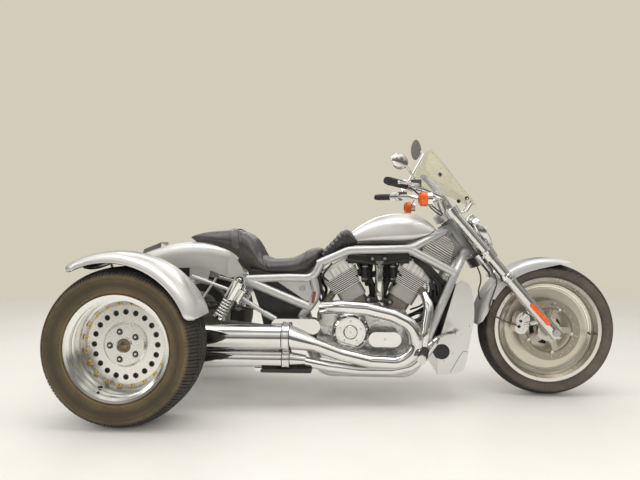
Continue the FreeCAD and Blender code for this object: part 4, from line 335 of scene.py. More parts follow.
def add(look, kind, settings=None, **inputs):
    """New shader node; each input is a value or another node's output, iN names an input by its number."""
    node = look.node_tree.nodes.new(kind)
    for key, value in (settings or {}).items():
        setattr(node, key, value)
    for key, value in inputs.items():
        numbered = key[0] == "i" and key[1:].isdigit()
        put(look, node.inputs[int(key[1:]) if numbered else key.replace("_", " ")], value)
    return node


def feed(look, shader, **inputs):
    """Feeds or sets the inputs of the look's own shader."""
    for name, value in inputs.items():
        put(look, shader.inputs[name.replace("_", " ")], value)


def noise(look, where, scale, detail=3.0, rough=0.55):
    """Fractal noise in the piece's own coordinates, as a value from 0 to 1."""
    node = add(look, "ShaderNodeTexNoise", Vector=where, Scale=scale, Detail=detail, Roughness=rough)
    return node.outputs["Fac"]


def spread(look, value, low, high, start, end):
    """Value taken from low..high to start..end, held at the ends."""
    return add(look, "ShaderNodeMapRange", Value=value, From_Min=low, From_Max=high, To_Min=start,
               To_Max=end).outputs["Result"]


def patches(look, where, scale, detail=5.0, rough=0.6, low=0.35, high=0.72):
    """Soft patches from 0 to 1: noise spread between two of its values."""
    return spread(look, noise(look, where, scale, detail, rough), low, high, 0.0, 1.0)


def mixed(look, factor, one, other):
    """Colour between two colours by the factor."""
    node = look.node_tree.nodes.new("ShaderNodeMix")
    node.data_type = "RGBA"
    for spot, value in ((node.inputs[0], factor), (node.inputs[6], one), (node.inputs[7], other)):
        put(look, spot, value)
    return node.outputs[2]


def sums(look, kind, one, other=0.0, clamp=False):
    """One arithmetic step on a value, or between two."""
    return add(look, "ShaderNodeMath", {"operation": kind, "use_clamp": clamp}, i0=one, i1=other).outputs[0]


def vectors(look, kind, one, other=None):
    """One step on a vector, or between two; a dot product or a length comes out as a value."""
    inputs = {"i0": one} if other is None else {"i0": one, "i1": other}
    node = add(look, "ShaderNodeVectorMath", {"operation": kind}, **inputs)
    return node.outputs["Value" if kind in ("DOT_PRODUCT", "LENGTH") else "Vector"]


def relief(look, height, depth, strength=1.0, under=None):
    """Bump from a height value; depth is in metres."""
    inputs = {"Height": height, "Distance": depth, "Strength": strength}
    if under is not None:
        inputs["Normal"] = under
    return add(look, "ShaderNodeBump", **inputs).outputs["Normal"]


def new_look(name):
    """Empty material with its shader and the object's coordinates."""
    look = bpy.data.materials.new(name)
    look.use_nodes = True
    shader = look.node_tree.nodes["Principled BSDF"]
    where = look.node_tree.nodes.new("ShaderNodeTexCoord").outputs["Object"]
    return look, shader, where


def face_way(look):
    """The surface's own normal."""
    return add(look, "ShaderNodeNewGeometry").outputs["Normal"]


def upward(look, low, high):
    """How much a face looks up: 0 below low, 1 above high."""
    tall = add(look, "ShaderNodeSeparateXYZ", Vector=face_way(look)).outputs["Z"]
    return spread(look, tall, low, high, 0.0, 1.0)


def dusty(look, where, amount):
    """How much dust lies on a face that looks up, in patches, up to the amount."""
    lying = spread(look, noise(look, where, 23.0), 0.35, 0.7, 0.3 * amount, amount)
    return sums(look, "MULTIPLY", upward(look, 0.35, 1.0), lying)


def flaked(look, where, colours, amount):
    """Colour with fine bright metal flakes."""
    spark = add(look, "ShaderNodeTexVoronoi", Vector=where, Scale=1500.0).outputs["Color"]
    value = add(look, "ShaderNodeSeparateXYZ", Vector=spark).outputs["X"]
    return mixed(look, sums(look, "MULTIPLY", value, amount), colours, SPARK)


def finish(name, colour, worn, metal, rough, patch, grain=None, dust=0.0, coat=0.0, flake=0.0, waves=0.0):
    """Finish from noise: patches between two colours and two roughnesses, flakes and dust by amount.

    Grain is the scale and depth of a fine relief, waves the depth of a slow one."""
    look, shader, where = new_look(name)
    colours = mixed(look, patches(look, where, patch), colour, worn)
    smear = noise(look, where, patch * 5.3, 4.0, 0.65)
    dull = spread(look, smear, 0.3, 0.75, *rough)
    if flake:
        colours = flaked(look, where, colours, flake)
    if dust:
        veil = dusty(look, where, dust)
        colours = mixed(look, veil, colours, DUST)
        dull = sums(look, "ADD", dull, sums(look, "MULTIPLY", veil, 0.5), True)
    feed(look, shader, Base_Color=colours, Roughness=dull, Metallic=metal, Coat_Weight=coat,
         Coat_Roughness=0.06)
    normal = None
    if waves:
        normal = relief(look, noise(look, where, 9.0, 2.0), waves)
    if grain:
        normal = relief(look, noise(look, where, grain[0], 3.0), grain[1], 1.0, normal)
    if normal is not None:
        feed(look, shader, Normal=normal)
    return look


def out_from(look, where, centre):
    """Way from a wheel's own axis, which runs along Y, square to it."""
    return vectors(look, "MULTIPLY", vectors(look, "SUBTRACT", where, centre), (1.0, 0.0, 1.0))


def lathe(name, centre, bands, rings=2600.0):
    """Turned metal: bands give (outer radius, colour, roughness), fine rings as relief by the radius."""
    look, shader, where = new_look(name)
    radius = vectors(look, "LENGTH", out_from(look, where, centre))
    _, colours, dull = bands[0]
    for (edge, _, _), (_, colour, rough) in zip(bands, bands[1:]):
        beyond = spread(look, radius, edge - 0.0006, edge + 0.0006, 0.0, 1.0)
        colours = mixed(look, beyond, colours, colour)
        dull = sums(look, "ADD", sums(look, "MULTIPLY", sums(look, "SUBTRACT", 1.0, beyond), dull),
                    sums(look, "MULTIPLY", beyond, rough))
    smear = noise(look, where, 26.0, 5.0, 0.65)
    dull = sums(look, "ADD", dull, spread(look, smear, 0.35, 0.75, -0.01, 0.06), True)
    grime = spread(look, noise(look, where, 11.0, 6.0, 0.7), 0.5, 0.8, 0.0, 0.12)
    ring = add(look, "ShaderNodeCombineXYZ", X=sums(look, "MULTIPLY", radius, rings)).outputs[0]
    feed(look, shader, Base_Color=mixed(look, grime, colours, (0.42, 0.38, 0.32)), Roughness=dull,
         Metallic=1.0, Normal=relief(look, noise(look, ring, 1.0, 2.0, 0.5), 0.00002, 0.6))
    return look


def leather(name, colour, grain, crease):
    """Grained leather: small cells and soft creases as relief, worn lighter where it looks up."""
    look, shader, where = new_look(name)
    paler = tuple(min(1.0, part * 1.9 + 0.012) for part in colour)
    colours = mixed(look, patches(look, where, 9.0, 6.0, 0.65, high=0.75), colour, paler)
    worn = sums(look, "MULTIPLY", upward(look, 0.3, 1.0), 0.22)
    cells = add(look, "ShaderNodeTexVoronoi", {"feature": "SMOOTH_F1"}, Vector=where, Scale=grain)
    soft = relief(look, noise(look, where, crease, 5.0, 0.6), 0.0012, 0.7)
    feed(look, shader, Base_Color=mixed(look, worn, colours, (0.16, 0.15, 0.14)),
         Roughness=spread(look, noise(look, where, 40.0, 5.0), 0.3, 0.7, 0.27, 0.42),
         Normal=relief(look, cells.outputs["Distance"], 0.00035, 0.8, soft), Specular_IOR_Level=0.60)
    return look


def tyre_look(name, centre, rings, deep, pale, inner=0.0):
    """Aged tyre: brown side wall with faint rings, black tread, dust in the patches.

    Each ring is (radius, half width, colour, amount). Inner is the wheel's side, -1 or 1, and paints the
    wall that looks to the trike's middle near black, as painted shade under the trike; 0 leaves both walls
    brown."""
    look, shader, where = new_look(name)
    radius = vectors(look, "LENGTH", out_from(look, where, centre))
    blotch = patches(look, where, 7.0, 6.0, 0.65, 0.3, 0.75)
    wall = mixed(look, blotch, deep, pale)
    streak = spread(look, noise(look, where, 42.0, 5.0, 0.7), 0.5, 0.75, 0.0, 0.5)
    wall = mixed(look, streak, wall, (0.030, 0.026, 0.020))
    for ring, width, colour, amount in rings:
        near = sums(look, "ABSOLUTE", sums(look, "SUBTRACT", radius, ring))
        wall = mixed(look, spread(look, near, 0.0, width, amount, 0.0), wall, colour)
    # Painted shade: the wall that looks to the trike's middle, under the trike, is near black
    if inner:
        along = vectors(look, "DOT_PRODUCT", where, (0.0, inner, 0.0))
        inside = spread(look, along, TRACK_HALF - 0.045, TRACK_HALF - 0.030, 1.0, 0.0)
        wall = mixed(look, inside, wall, (0.016, 0.015, 0.014))
    tread = mixed(look, blotch, (0.016, 0.0155, 0.015), (0.052, 0.047, 0.040))
    beyond = spread(look, radius, TREAD_EDGE - 0.006, TREAD_EDGE + 0.004, 0.0, 1.0)
    feed(look, shader, Base_Color=mixed(look, beyond, wall, tread), Specular_IOR_Level=0.35,
         Roughness=spread(look, blotch, 0.0, 1.0, 0.56, 0.82),
         Normal=relief(look, noise(look, where, 900.0, 2.0), 0.0002, 0.6))
    return look


def sheet(name, colour, cover):
    """Thin clear sheet: mostly let through, a little of its own colour, faint smears in its gloss."""
    look, shader, where = new_look(name)
    smear = noise(look, where, 14.0, 5.0, 0.6)
    hazy = mixed(look, spread(look, smear, 0.4, 0.7, 0.0, 0.3), colour, (0.80, 0.78, 0.70))
    feed(look, shader, Base_Color=hazy, Roughness=spread(look, smear, 0.45, 0.8, 0.03, 0.10),
         Alpha=spread(look, smear, 0.3, 0.8, cover, cover + 0.06))
    return look


def fender_look(name, centre, base):
    """Lacquered fender: silver outside, and painted shade, dull and near black, where the sheet looks back to
    the wheel.
    """
    look, shader, where = new_look(name)
    way = vectors(look, "NORMALIZE", out_from(look, where, centre))
    # Painted shade: 1 on the underside, where the sheet looks back to the wheel
    under = spread(look, vectors(look, "DOT_PRODUCT", face_way(look), way), -0.32, -0.24, 1.0, 0.0)
    paint = mixed(look, patches(look, where, 3.0), base, tuple(part * 0.94 for part in base))
    paint = mixed(look, dusty(look, where, 0.10), flaked(look, where, paint, 0.16), DUST)
    feed(look, shader, Base_Color=mixed(look, under, paint, (0.022, 0.021, 0.020)),
         Roughness=spread(look, under, 0.0, 1.0, 0.30, 0.62),
         Metallic=spread(look, under, 0.0, 1.0, 0.55, 0.0),
         Coat_Weight=spread(look, under, 0.0, 1.0, 0.70, 0.0), Coat_Roughness=0.06)
    return look


def cylinder_look(name, degrees):
    """Cast cylinder by the distance along its own axis: foot, smooth barrel, fins and head.

    The fins are painted near black where they lie deeper than their edges or look along the axis: painted
    shade between the fins."""
    look, shader, where = new_look(name)
    lean = math.radians(degrees)
    up_way = (math.sin(lean), 0.0, math.cos(lean))
    side_way = (math.cos(lean), 0.0, -math.sin(lean))
    out = vectors(look, "SUBTRACT", where, CRANK)
    along = vectors(look, "DOT_PRODUCT", out, up_way)
    across = sums(look, "ABSOLUTE", vectors(look, "DOT_PRODUCT", out, side_way))
    sideways = sums(look, "ABSOLUTE", vectors(look, "DOT_PRODUCT", out, (0.0, 1.0, 0.0)))
    square = sums(look, "ABSOLUTE", vectors(look, "DOT_PRODUCT", face_way(look), up_way))
    outside = sums(look, "MAXIMUM", sums(look, "SUBTRACT", sideways, 0.0800),
                   sums(look, "SUBTRACT", across, 0.0665))
    # Painted shade between the fins: 1 where a face looks along the axis or lies deeper than the fin edges
    deep = sums(look, "MAXIMUM", spread(look, square, 0.4, 0.6, 0.0, 1.0),
                spread(look, outside, -0.001, 0.001, 1.0, 0.0))
    blotch = patches(look, where, 13.0, 5.0, 0.65)
    foot = mixed(look, blotch, (0.22, 0.185, 0.160), (0.31, 0.27, 0.24))
    barrel = mixed(look, blotch, (0.40, 0.38, 0.37), (0.50, 0.485, 0.47))
    # Bright fin edges, with painted shade near black between them
    fins = mixed(look, deep, (0.80, 0.79, 0.77), (0.055, 0.054, 0.052))
    head = mixed(look, blotch, (0.80, 0.79, 0.76), (0.62, 0.61, 0.59))
    colours = foot
    for start, end, part in ((0.2200, 0.2215, barrel), (0.2852, 0.2860, fins), (0.3615, 0.3625, head)):
        colours = mixed(look, spread(look, along, start, end, 0.0, 1.0), colours, part)
    feed(look, shader, Base_Color=colours, Metallic=0.30,
         Roughness=spread(look, blotch, 0.0, 1.0, 0.30, 0.46),
         Normal=relief(look, noise(look, where, 420.0, 3.0), 0.0001))
    return look


def tail_look():
    """Bright lamp housing whose faces that look back are a dark red lens."""
    look, shader, where = new_look("tail_lamp_housing")
    forward = add(look, "ShaderNodeSeparateXYZ", Vector=face_way(look)).outputs["X"]
    back = spread(look, forward, -0.62, -0.55, 1.0, 0.0)
    ribs = add(look, "ShaderNodeTexWave", {"bands_direction": "Z"}, Vector=where, Scale=40.0).outputs["Fac"]
    feed(look, shader, Base_Color=mixed(look, back, (0.80, 0.80, 0.79), (0.30, 0.012, 0.010)),
         Metallic=sums(look, "SUBTRACT", 1.0, back),
         Roughness=spread(look, noise(look, where, 40.0, 4.0), 0.3, 0.7, 0.06, 0.14),
         Normal=relief(look, sums(look, "MULTIPLY", ribs, back), 0.0006))
    return look


def grille_look():
    """Louvred grille: light ribs, and painted shade in the slots between them, by the distance along the way
    the ribs stand.
    """
    look, shader, where = new_look("louvred_grille")
    out = vectors(look, "SUBTRACT", where, (0.345, 0.0, 0.712))
    along = vectors(look, "DOT_PRODUCT", out, (0.5, 0.0, 0.866))
    turn = sums(look, "MULTIPLY", along, math.pi / 0.0105)
    rib = sums(look, "ABSOLUTE", sums(look, "SINE", turn))
    pale = spread(look, rib, 0.35, 0.70, 0.0, 1.0)
    smear = noise(look, where, 30.0, 4.0)
    light = mixed(look, smear, (0.86, 0.84, 0.80), (0.70, 0.68, 0.64))
    # The dark colour is painted shade in the slots between the ribs
    feed(look, shader, Base_Color=mixed(look, pale, (0.075, 0.068, 0.058), light),
         Roughness=spread(look, smear, 0.3, 0.7, 0.30, 0.42), Metallic=sums(look, "MULTIPLY", pale, 0.5),
         Normal=relief(look, rib, 0.0012))
    return look


# Finishes: colour, worn colour, metal, least and most roughness, scale of the patches
silver = finish("silver_lacquer", (0.66, 0.655, 0.63), (0.62, 0.615, 0.60), 0.62, (0.27, 0.35), 3.0,
                dust=0.08, coat=0.7, flake=0.16)
pale_silver = finish("pale_silver_lacquer", (0.66, 0.655, 0.62), (0.60, 0.595, 0.57), 0.70, (0.34, 0.42), 3.0,
                     dust=0.12, coat=0.5, flake=0.14)
frame_silver = finish("frame_tube_lacquer", (0.56, 0.555, 0.55), (0.50, 0.495, 0.49), 0.62, (0.28, 0.38), 6.0,
                      dust=0.12, coat=0.5, flake=0.14, waves=0.0004)
nacelle_grey = finish("nacelle_lacquer", (0.70, 0.695, 0.67), (0.62, 0.615, 0.59), 0.4, (0.22, 0.32), 6.0,
                      dust=0.10, coat=0.6, flake=0.12)
rear_fender_paint = fender_look("rear_fender_lacquer", FENDER_CENTRE, (0.70, 0.695, 0.675))
front_fender_paint = fender_look("front_fender_lacquer", FRONT_AXLE, (0.62, 0.62, 0.605))
chrome = finish("bright_plating", (0.80, 0.80, 0.79), (0.72, 0.71, 0.69), 1.0, (0.035, 0.12), 6.0, dust=0.05,
                waves=0.0003)
worn_chrome = finish("worn_plating", (0.74, 0.73, 0.71), (0.55, 0.52, 0.47), 1.0, (0.10, 0.30), 12.0,
                     dust=0.10, waves=0.0004)
shell_plating = finish("shell_plating", (0.66, 0.66, 0.65), (0.58, 0.58, 0.56), 1.0, (0.10, 0.18), 6.0)
bowl_look = finish("bowl_silvering", (0.70, 0.70, 0.69), (0.62, 0.62, 0.61), 1.0, (0.30, 0.36), 30.0)
polished = finish("polished_alloy_metal", (0.74, 0.735, 0.72), (0.66, 0.65, 0.63), 1.0, (0.12, 0.24), 8.0,
                  (700.0, 0.00003), 0.06)
satin = finish("satin_alloy_metal", (0.55, 0.55, 0.54), (0.45, 0.45, 0.44), 1.0, (0.28, 0.42), 9.0,
               (600.0, 0.00008), 0.12)
cast = finish("cast_alloy_metal", (0.40, 0.40, 0.395), (0.28, 0.28, 0.275), 0.7, (0.38, 0.55), 12.0,
              (420.0, 0.00035), 0.15)
case_metal = finish("case_metal", (0.66, 0.66, 0.65), (0.44, 0.44, 0.43), 1.0, (0.14, 0.26), 10.0,
                    (60.0, 0.0008), 0.10, waves=0.006)
port_gold = finish("heated_port", (0.42, 0.37, 0.27), (0.30, 0.27, 0.21), 0.9, (0.3, 0.45), 60.0)
brass = finish("gilt_fixings", (0.84, 0.68, 0.32), (0.66, 0.52, 0.27), 0.9, (0.22, 0.38), 60.0)
hub_brown = finish("hub_cap_brown", (0.24, 0.19, 0.13), (0.11, 0.085, 0.06), 0.75, (0.22, 0.40), 70.0)
pale_hole = finish("drilled_hole", (0.62, 0.58, 0.50), (0.20, 0.18, 0.15), 0.6, (0.4, 0.5), 160.0)
# Painted shade: near black for the lug wells and behind the rear wheels' holes
painted_hole_shade = finish("painted_hole_shade_finish", (0.045, 0.043, 0.040), (0.080, 0.075, 0.066), 0.5, (0.35, 0.5), 40.0)
black = finish("black_enamel", (0.012, 0.012, 0.013), (0.030, 0.029, 0.028), 0.1, (0.30, 0.48), 10.0,
               (350.0, 0.0001), 0.15)
dark_steel = finish("dark_steel", (0.10, 0.10, 0.10), (0.16, 0.14, 0.12), 0.8, (0.35, 0.55), 16.0,
                    (500.0, 0.0001), 0.15)
rubber = finish("soft_rubber", (0.016, 0.016, 0.016), (0.035, 0.033, 0.031), 0.0, (0.55, 0.75), 14.0,
                (700.0, 0.0002), 0.2)
hose_brown = finish("brown_hose", (0.060, 0.048, 0.026), (0.10, 0.08, 0.045), 0.0, (0.35, 0.5), 60.0)
reflector_look = finish("orange_reflector", (0.86, 0.135, 0.006), (0.62, 0.070, 0.004), 0.0, (0.18, 0.26),
                        60.0, (300.0, 0.0006), coat=0.25)
dark_red = finish("dark_red_reflector", (0.22, 0.028, 0.012), (0.16, 0.02, 0.01), 0.0, (0.10, 0.20), 40.0,
                  (400.0, 0.0004), coat=1.0)
seat_leather = leather("saddle_hide", (0.030, 0.026, 0.026), 1100.0, 26.0)
strap_leather = leather("strap_hide", (0.042, 0.037, 0.036), 900.0, 60.0)
bib_leather = leather("bib_hide", (0.014, 0.0135, 0.0135), 900.0, 40.0)
screen_look = sheet("screen_sheet", (0.62, 0.58, 0.40), 0.24)
clear_look = sheet("clear_lens", (0.88, 0.89, 0.88), 0.36)

# Turned metal: outer radius of each band, its colour and roughness
rear_dish = {
    side: lathe(f"turned_dish_{side}", (REAR_AXLE_X, sign * TRACK_HALF, REAR_AXLE_Z), (
        (0.030, (0.60, 0.58, 0.55), 0.30), (0.092, (0.80, 0.79, 0.76), 0.26),
        (0.165, (0.88, 0.87, 0.83), 0.27), (0.181, (0.62, 0.61, 0.59), 0.26),
        (0.300, (0.80, 0.80, 0.78), 0.19)))
    for side, sign in BOTH}
front_disc = lathe("champagne_disc", FRONT_AXLE, (
    (0.042, (0.74, 0.73, 0.70), 0.16), (0.052, (0.62, 0.57, 0.49), 0.34), (0.2035, (0.76, 0.71, 0.62), 0.38),
    (0.2060, (0.42, 0.38, 0.32), 0.36), (0.2130, (0.84, 0.81, 0.74), 0.20),
    (0.2155, (0.44, 0.41, 0.35), 0.36), (0.2250, (0.78, 0.74, 0.66), 0.30),
    (0.2275, (0.46, 0.43, 0.37), 0.34), (0.300, (0.84, 0.82, 0.77), 0.24)), 1500.0)
rotor_steel = lathe("brake_steel", FRONT_AXLE, (
    (0.060, (0.60, 0.58, 0.54), 0.20), (0.104, (0.50, 0.46, 0.40), 0.26), (0.110, (0.24, 0.22, 0.19), 0.44),
    (0.300, (0.40, 0.36, 0.30), 0.34)), 3400.0)

# Which nodes of the part each finish dresses
LOOKS = (
    (front_disc, "front_wheel"),
    (rotor_steel, "front_rotors"),
    (rear_dish["right"], "rear_wheel_right"),
    (rear_dish["left"], "rear_wheel_left"),
    (cast, "steering_head"),
    (frame_silver, "frame_right frame_left subframe"),
    (dark_steel, "rear_axle swingarm"),
    (satin, "front_axle"),
    (polished, "fork_legs lower_clamp upper_clamp front_calipers"),
    (chrome, "handlebar hand_controls mirrors turn_signals headlamp screen_brackets shocks shock_springs"),
    (chrome, "centre_pipe engine_covers mufflers exhaust_headers muffler_clamp"),
    (worn_chrome, "foot_controls"),
    (rubber, "grips"),
    (clear_look, "headlamp_lens"),
    (screen_look, "windscreen"),
    (nacelle_grey, "instrument_nacelle"),
    (front_fender_paint, "front_fender"),
    (rear_fender_paint, "rear_fender_right rear_fender_left"),
    (silver, "tank_cover radiator_shroud"),
    (pale_silver, "tail_fender"),
    (tail_look(), "tail_lamp"),
    (grille_look(), "side_grilles"),
    (case_metal, "crankcase"),
    (cylinder_look("front_cylinder_casting", LEAN_OF_V), "front_cylinder"),
    (cylinder_look("rear_cylinder_casting", -LEAN_OF_V), "rear_cylinder"),
    (black, "airbox fuel_cell radiator belt_drive"),
    (seat_leather, "seat"),
    (bib_leather, "tank_bib"),
)


def dress_nodes():
    """Gives every node of the part its own finish."""
    for look, names in LOOKS:
        for name in names.split():
            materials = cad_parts[name].data.materials
            materials.clear()
            materials.append(look)


def tyre(name, body, centre, look, half, seat, low, lip, radius, shoulder, crown, pitches, marks, shift,
         depth, grooves):
    """Treaded tyre: the cross section carried round the axle on rows that lean by a shift across the width.

    The section goes bead, side wall, shoulder, crown and back: half is the half width, seat and low are the
    bead's place and radius, lip its height, shoulder how far in and down the tread ends. Each row's angle is
    the pitch plus the shift at that point's place across the width, so cross grooves follow the rows; ring
    grooves follow the section's points."""
    tread_half = half - shoulder[0]
    wide = low + (radius - low) * 0.5
    side_in = arc((seat, low + lip), (half, wide), -0.004, 9)
    side_out = arc((half, wide), (tread_half, radius - shoulder[1]), -0.006, 10)[1:]
    edges = np.array(grooves)
    across = np.concatenate([edges - 0.0034, edges - 0.0026, edges + 0.0026, edges + 0.0034,
                             np.linspace(0, tread_half, 13)])
    across = np.unique(np.round(across[(across >= 0) & (across <= tread_half)], 5))[::-1]
    crowned = radius - shoulder[1] * np.abs(across / tread_half) ** crown
    top = np.stack([across, crowned], axis=-1)[1:]
    right = np.vstack([[(seat, low)], side_in, side_out, top])
    section = np.vstack([right, right[::-1][1:] * (-1, 1)])
    place, height = section[:, 0], section[:, 1]
    from_groove = np.min(np.abs(np.abs(place)[:, None] - edges[None]), axis=1)
    on_tread = height > radius - shoulder[1] - 0.001
    ring_cut = np.where(on_tread & (from_groove < 0.003), depth, 0.0)
    rows = np.array([0.0, 0.012, marks, marks + 0.012, 0.3, 0.5, 0.512, 0.5 + marks * 0.6,
                     0.512 + marks * 0.6, 0.8])
    in_mark = np.array([0, 1, 1, 0, 0, 0, 1, 1, 0, 0])
    lines = (np.arange(pitches)[:, None] + rows[None]).ravel() / pitches * 2 * math.pi
    share = np.abs(place) / half
    reach = np.clip((share - 0.16) / 0.02, 0, 1) * np.clip((1.0 - share) / 0.02, 0, 1)
    reach = reach * (height > wide + 0.35 * (radius - wide))
    cross_cut = np.tile(in_mark, pitches)[:, None] * reach[None] * depth * 0.85
    angle = lines[:, None] + shift * np.sin(np.clip(share, 0, 1) * 1.35)[None]
    reach_out = height[None] - np.maximum(cross_cut, ring_cut[None])
    points = np.stack([centre[0] + reach_out * np.cos(angle), centre[1] + place[None] + 0 * angle,
                       centre[2] + reach_out * np.sin(angle)], axis=-1)
    return make(name, [surface(points, round_rows=True, round_columns=True)], look, body, crease=26)


def make_tyres():
    """Front and rear tyres with ring and cross grooves; they stand for the part's plain ones."""
    rings = (
        (0.262, 0.030, (0.036, 0.029, 0.018), 0.75), (0.2285, 0.0018, (0.24, 0.16, 0.060), 0.8),
        (0.252, 0.0012, (0.020, 0.017, 0.012), 0.8), (0.281, 0.0014, (0.022, 0.018, 0.013), 0.8),
        (0.216, 0.004, (0.030, 0.025, 0.018), 0.7))
    for side, sign in BOTH:
        centre = (REAR_AXLE_X, sign * TRACK_HALF, REAR_AXLE_Z)
        look = tyre_look(f"aged_tyre_{side}", centre, rings, (0.070, 0.054, 0.030), (0.150, 0.116, 0.064),
                         inner=sign)
        piece = tyre(f"road_tyre_{side}", f"rear_wheel_{side}", centre, look, half=0.1125, seat=0.092,
                     low=0.203, lip=0.016, radius=0.327, shoulder=(0.008, 0.020), crown=3.2, pitches=68,
                     marks=0.13, shift=0.055, depth=0.006, grooves=(0.020, 0.055))
        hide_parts(f"rear_tyre_{side}")
    rings = ((0.262, 0.0010, (0.020, 0.018, 0.014), 0.8), (0.290, 0.0010, (0.022, 0.019, 0.015), 0.6))
    look = tyre_look("aged_tyre_front", FRONT_AXLE, rings, (0.060, 0.050, 0.040), (0.135, 0.115, 0.090))
    piece = tyre("road_tyre_front", "front_wheel", FRONT_AXLE, look, half=0.060, seat=0.038, low=0.241,
                 lip=0.014, radius=0.325, shoulder=(0.009, 0.022), crown=1.9, pitches=34, marks=0.16,
                 shift=0.30, depth=0.005, grooves=(0.014,))
    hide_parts("front_tyre")


def make_rear_wheel_fittings():
    """Square headed rim fixings, lug nuts in their seats, hub cap and valve of each wheel, with painted
    shade: dark discs in the lug wells and a dark ring behind the holes.
    """
    head = turned([(0, 0), (0, 0.0060), (0.0045, 0.0060), (0.0060, 0.0046), (0.0060, 0)], steps=4,
                  begin=math.pi / 4)
    washer = turned(slab(0, 0.0010, 0, 0.0078), steps=14)
    nut = turned([(0, 0), (0, 0.0074), (0.0150, 0.0074), (0.0195, 0.0050), (0.0200, 0)], steps=6)
    well = turned(slab(0, 0.0006, 0, 0.0122))
    seat_ring = turned([(-0.004, 0.0100), (0.0012, 0.0128), (0.0016, 0.0150), (0.0, 0.0164),
                        (-0.002, 0.0140)], steps=28, closed=True)
    cap = [(0, 0), (0, 0.029), (0.003, 0.029), (0.0055, 0.0265), (0.0062, 0.020), (0.0050, 0.017),
           (0.0062, 0.014), (0.0090, 0.006), (0.0095, 0)]
    cap_rim = [(0, 0.0285), (0.0040, 0.0290), (0.0046, 0.0310), (0.0030, 0.0335), (0, 0.0340)]
    stem = [(0, 0), (0, 0.0055), (0.012, 0.0045), (0.022, 0.0035), (0.022, 0.0042), (0.032, 0.0042),
            (0.033, 0)]
    stem_turn = math.radians(243.4)
    lug_turn = math.radians(36)
    middle = (REAR_AXLE_X, 0, REAR_AXLE_Z)
    for side, sign in BOTH:
        out = (0, sign, 0)
        hub = (middle[0], sign * HUB_FACE, middle[2])
        spots = np.vstack([round_places(middle, 0.172, 20, sign * 0.5100, math.pi / 20 + shift)
                           for shift in (-0.034, 0.034)])
        lugs = round_places(middle, 0.060, 5, sign * 0.512, lug_turn)
        rings = round_places(middle, 0.060, 5, sign * 0.5262, lug_turn)
        # Painted shade: a dark ring inside the wheel, so its holes look dark
        shade_ring = turned(slab(0, 0.002, 0.118, 0.164), (middle[0], sign * 0.490, middle[2]), out, 72,
                       closed=True)
        stem_foot = np.array([middle[0] + 0.187 * math.cos(stem_turn), sign * 0.552,
                              middle[2] + 0.187 * math.sin(stem_turn)])
        lean = np.array([-0.30 * math.cos(stem_turn), sign * 0.95, -0.30 * math.sin(stem_turn)])
        make_all(f"rear_wheel_{side}", (
            (f"ring_fixings_{side}", [repeated(head, spots, out), repeated(washer, spots, out)], brass),
            (f"lug_nuts_{side}", [repeated(nut, lugs, out)], polished),
            # Dark discs in the lug wells and the ring behind the holes are painted shade
            (f"lug_well_shade_{side}", [repeated(well, rings, out)], painted_hole_shade),
            (f"hole_shade_ring_{side}", [shade_ring], painted_hole_shade),
            (f"lug_seats_{side}", [repeated(seat_ring, rings, out)], polished),
            (f"hub_cap_{side}", [turned(cap, hub, out, 48)], hub_brown),
            (f"hub_cap_rim_{side}", [turned(cap_rim, hub, out, 48, closed=True)], polished),
            (f"valve_{side}", [turned(stem, stem_foot, lean, 16)], rubber),
        ))


def make_rear_fenders():
    """Rear fenders: a rounded box section carried round the wheel, its corners rounded off at both tips.

    Across, the outside is a superellipse of the half width and the crown height; along, the half width
    follows a quarter circle near each tip and the side walls shorten there. The inside is the same shape less
    the sheet. The angle round the fender's centre starts from the rear."""
    start, sweep, mean_radius, power, short = 57.5, 105, 0.367, 2 / 2.7, 0.026
    along = np.linspace(0, 1, 97)
    round_off = np.where(along < 0.5, 0.062, 0.034)
    from_tip = np.minimum(along, 1 - along) * (math.radians(sweep) * mean_radius)
    narrow = np.sqrt(1 - (1 - np.clip(from_tip / round_off, 0, 1)) ** 2)[:, None]
    angle = np.radians(start + sweep * along)[:, None]
    phase = np.linspace(0, math.pi, 41)[None]
    lay = np.sign(np.cos(phase)) * np.abs(np.cos(phase)) ** power
    rise = np.abs(np.sin(phase)) ** power

    def skin(half, low, height):
        """Outside or inside of the sheet for one half width, lower edge and height."""
        wide = (half - round_off[:, None] * (1 - narrow)) * lay
        return wide, low + short * (1 - narrow) + (height - short * (1 - narrow)) * rise

    def closed_tips(outside, inside):
        """Both skins side by side, with the rows of both tips brought together half way."""
        both = np.hstack([outside, inside[:, ::-1]])
        middle = (both + both[:, ::-1]) / 2
        return np.vstack([middle[:1], both, middle[-1:]])

    def place(wide, radius, angle, sign):
        """Points at a width, radius and angle round the fender's centre on one side."""
        return np.stack([FENDER_CENTRE[0] - radius * np.cos(angle), sign * TRACK_HALF + wide,
                         FENDER_CENTRE[2] + radius * np.sin(angle)], -1)

    wide_out, radius_out = skin(0.1215, 0.3335, 0.0445)
    wide_in, radius_in = skin(0.1185, 0.3335, 0.0415)
    wide, radius = closed_tips(wide_out, wide_in), closed_tips(radius_out, radius_in)
    round_angle = np.vstack([angle[:1], angle, angle[-1:]])
    for side, sign in BOTH:
        parts = [surface(place(wide, radius, round_angle, sign), round_columns=True)]
        for turn, foot in ((math.radians(72), -0.020), (math.radians(128), 0.020)):
            top = (FENDER_CENTRE[0] - 0.353 * math.cos(turn), sign * 0.3835,
                   FENDER_CENTRE[2] + 0.353 * math.sin(turn))
            parts.append(rod((REAR_AXLE_X + foot, sign * 0.369, AXLE_TOP), top, 0.007, 20))
        beads = [hose(place(wide_out[:, row] * 0.985, radius_out[:, row], angle[:, 0], sign), 0.0034, 97, 8)
                 for row in (0, 40)]
        piece = make(f"cycle_fender_{side}", parts, rear_fender_paint, "chassis")
        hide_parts(f"rear_fender_{side}")
        make(f"fender_bead_{side}", beads, rear_fender_paint, "chassis")


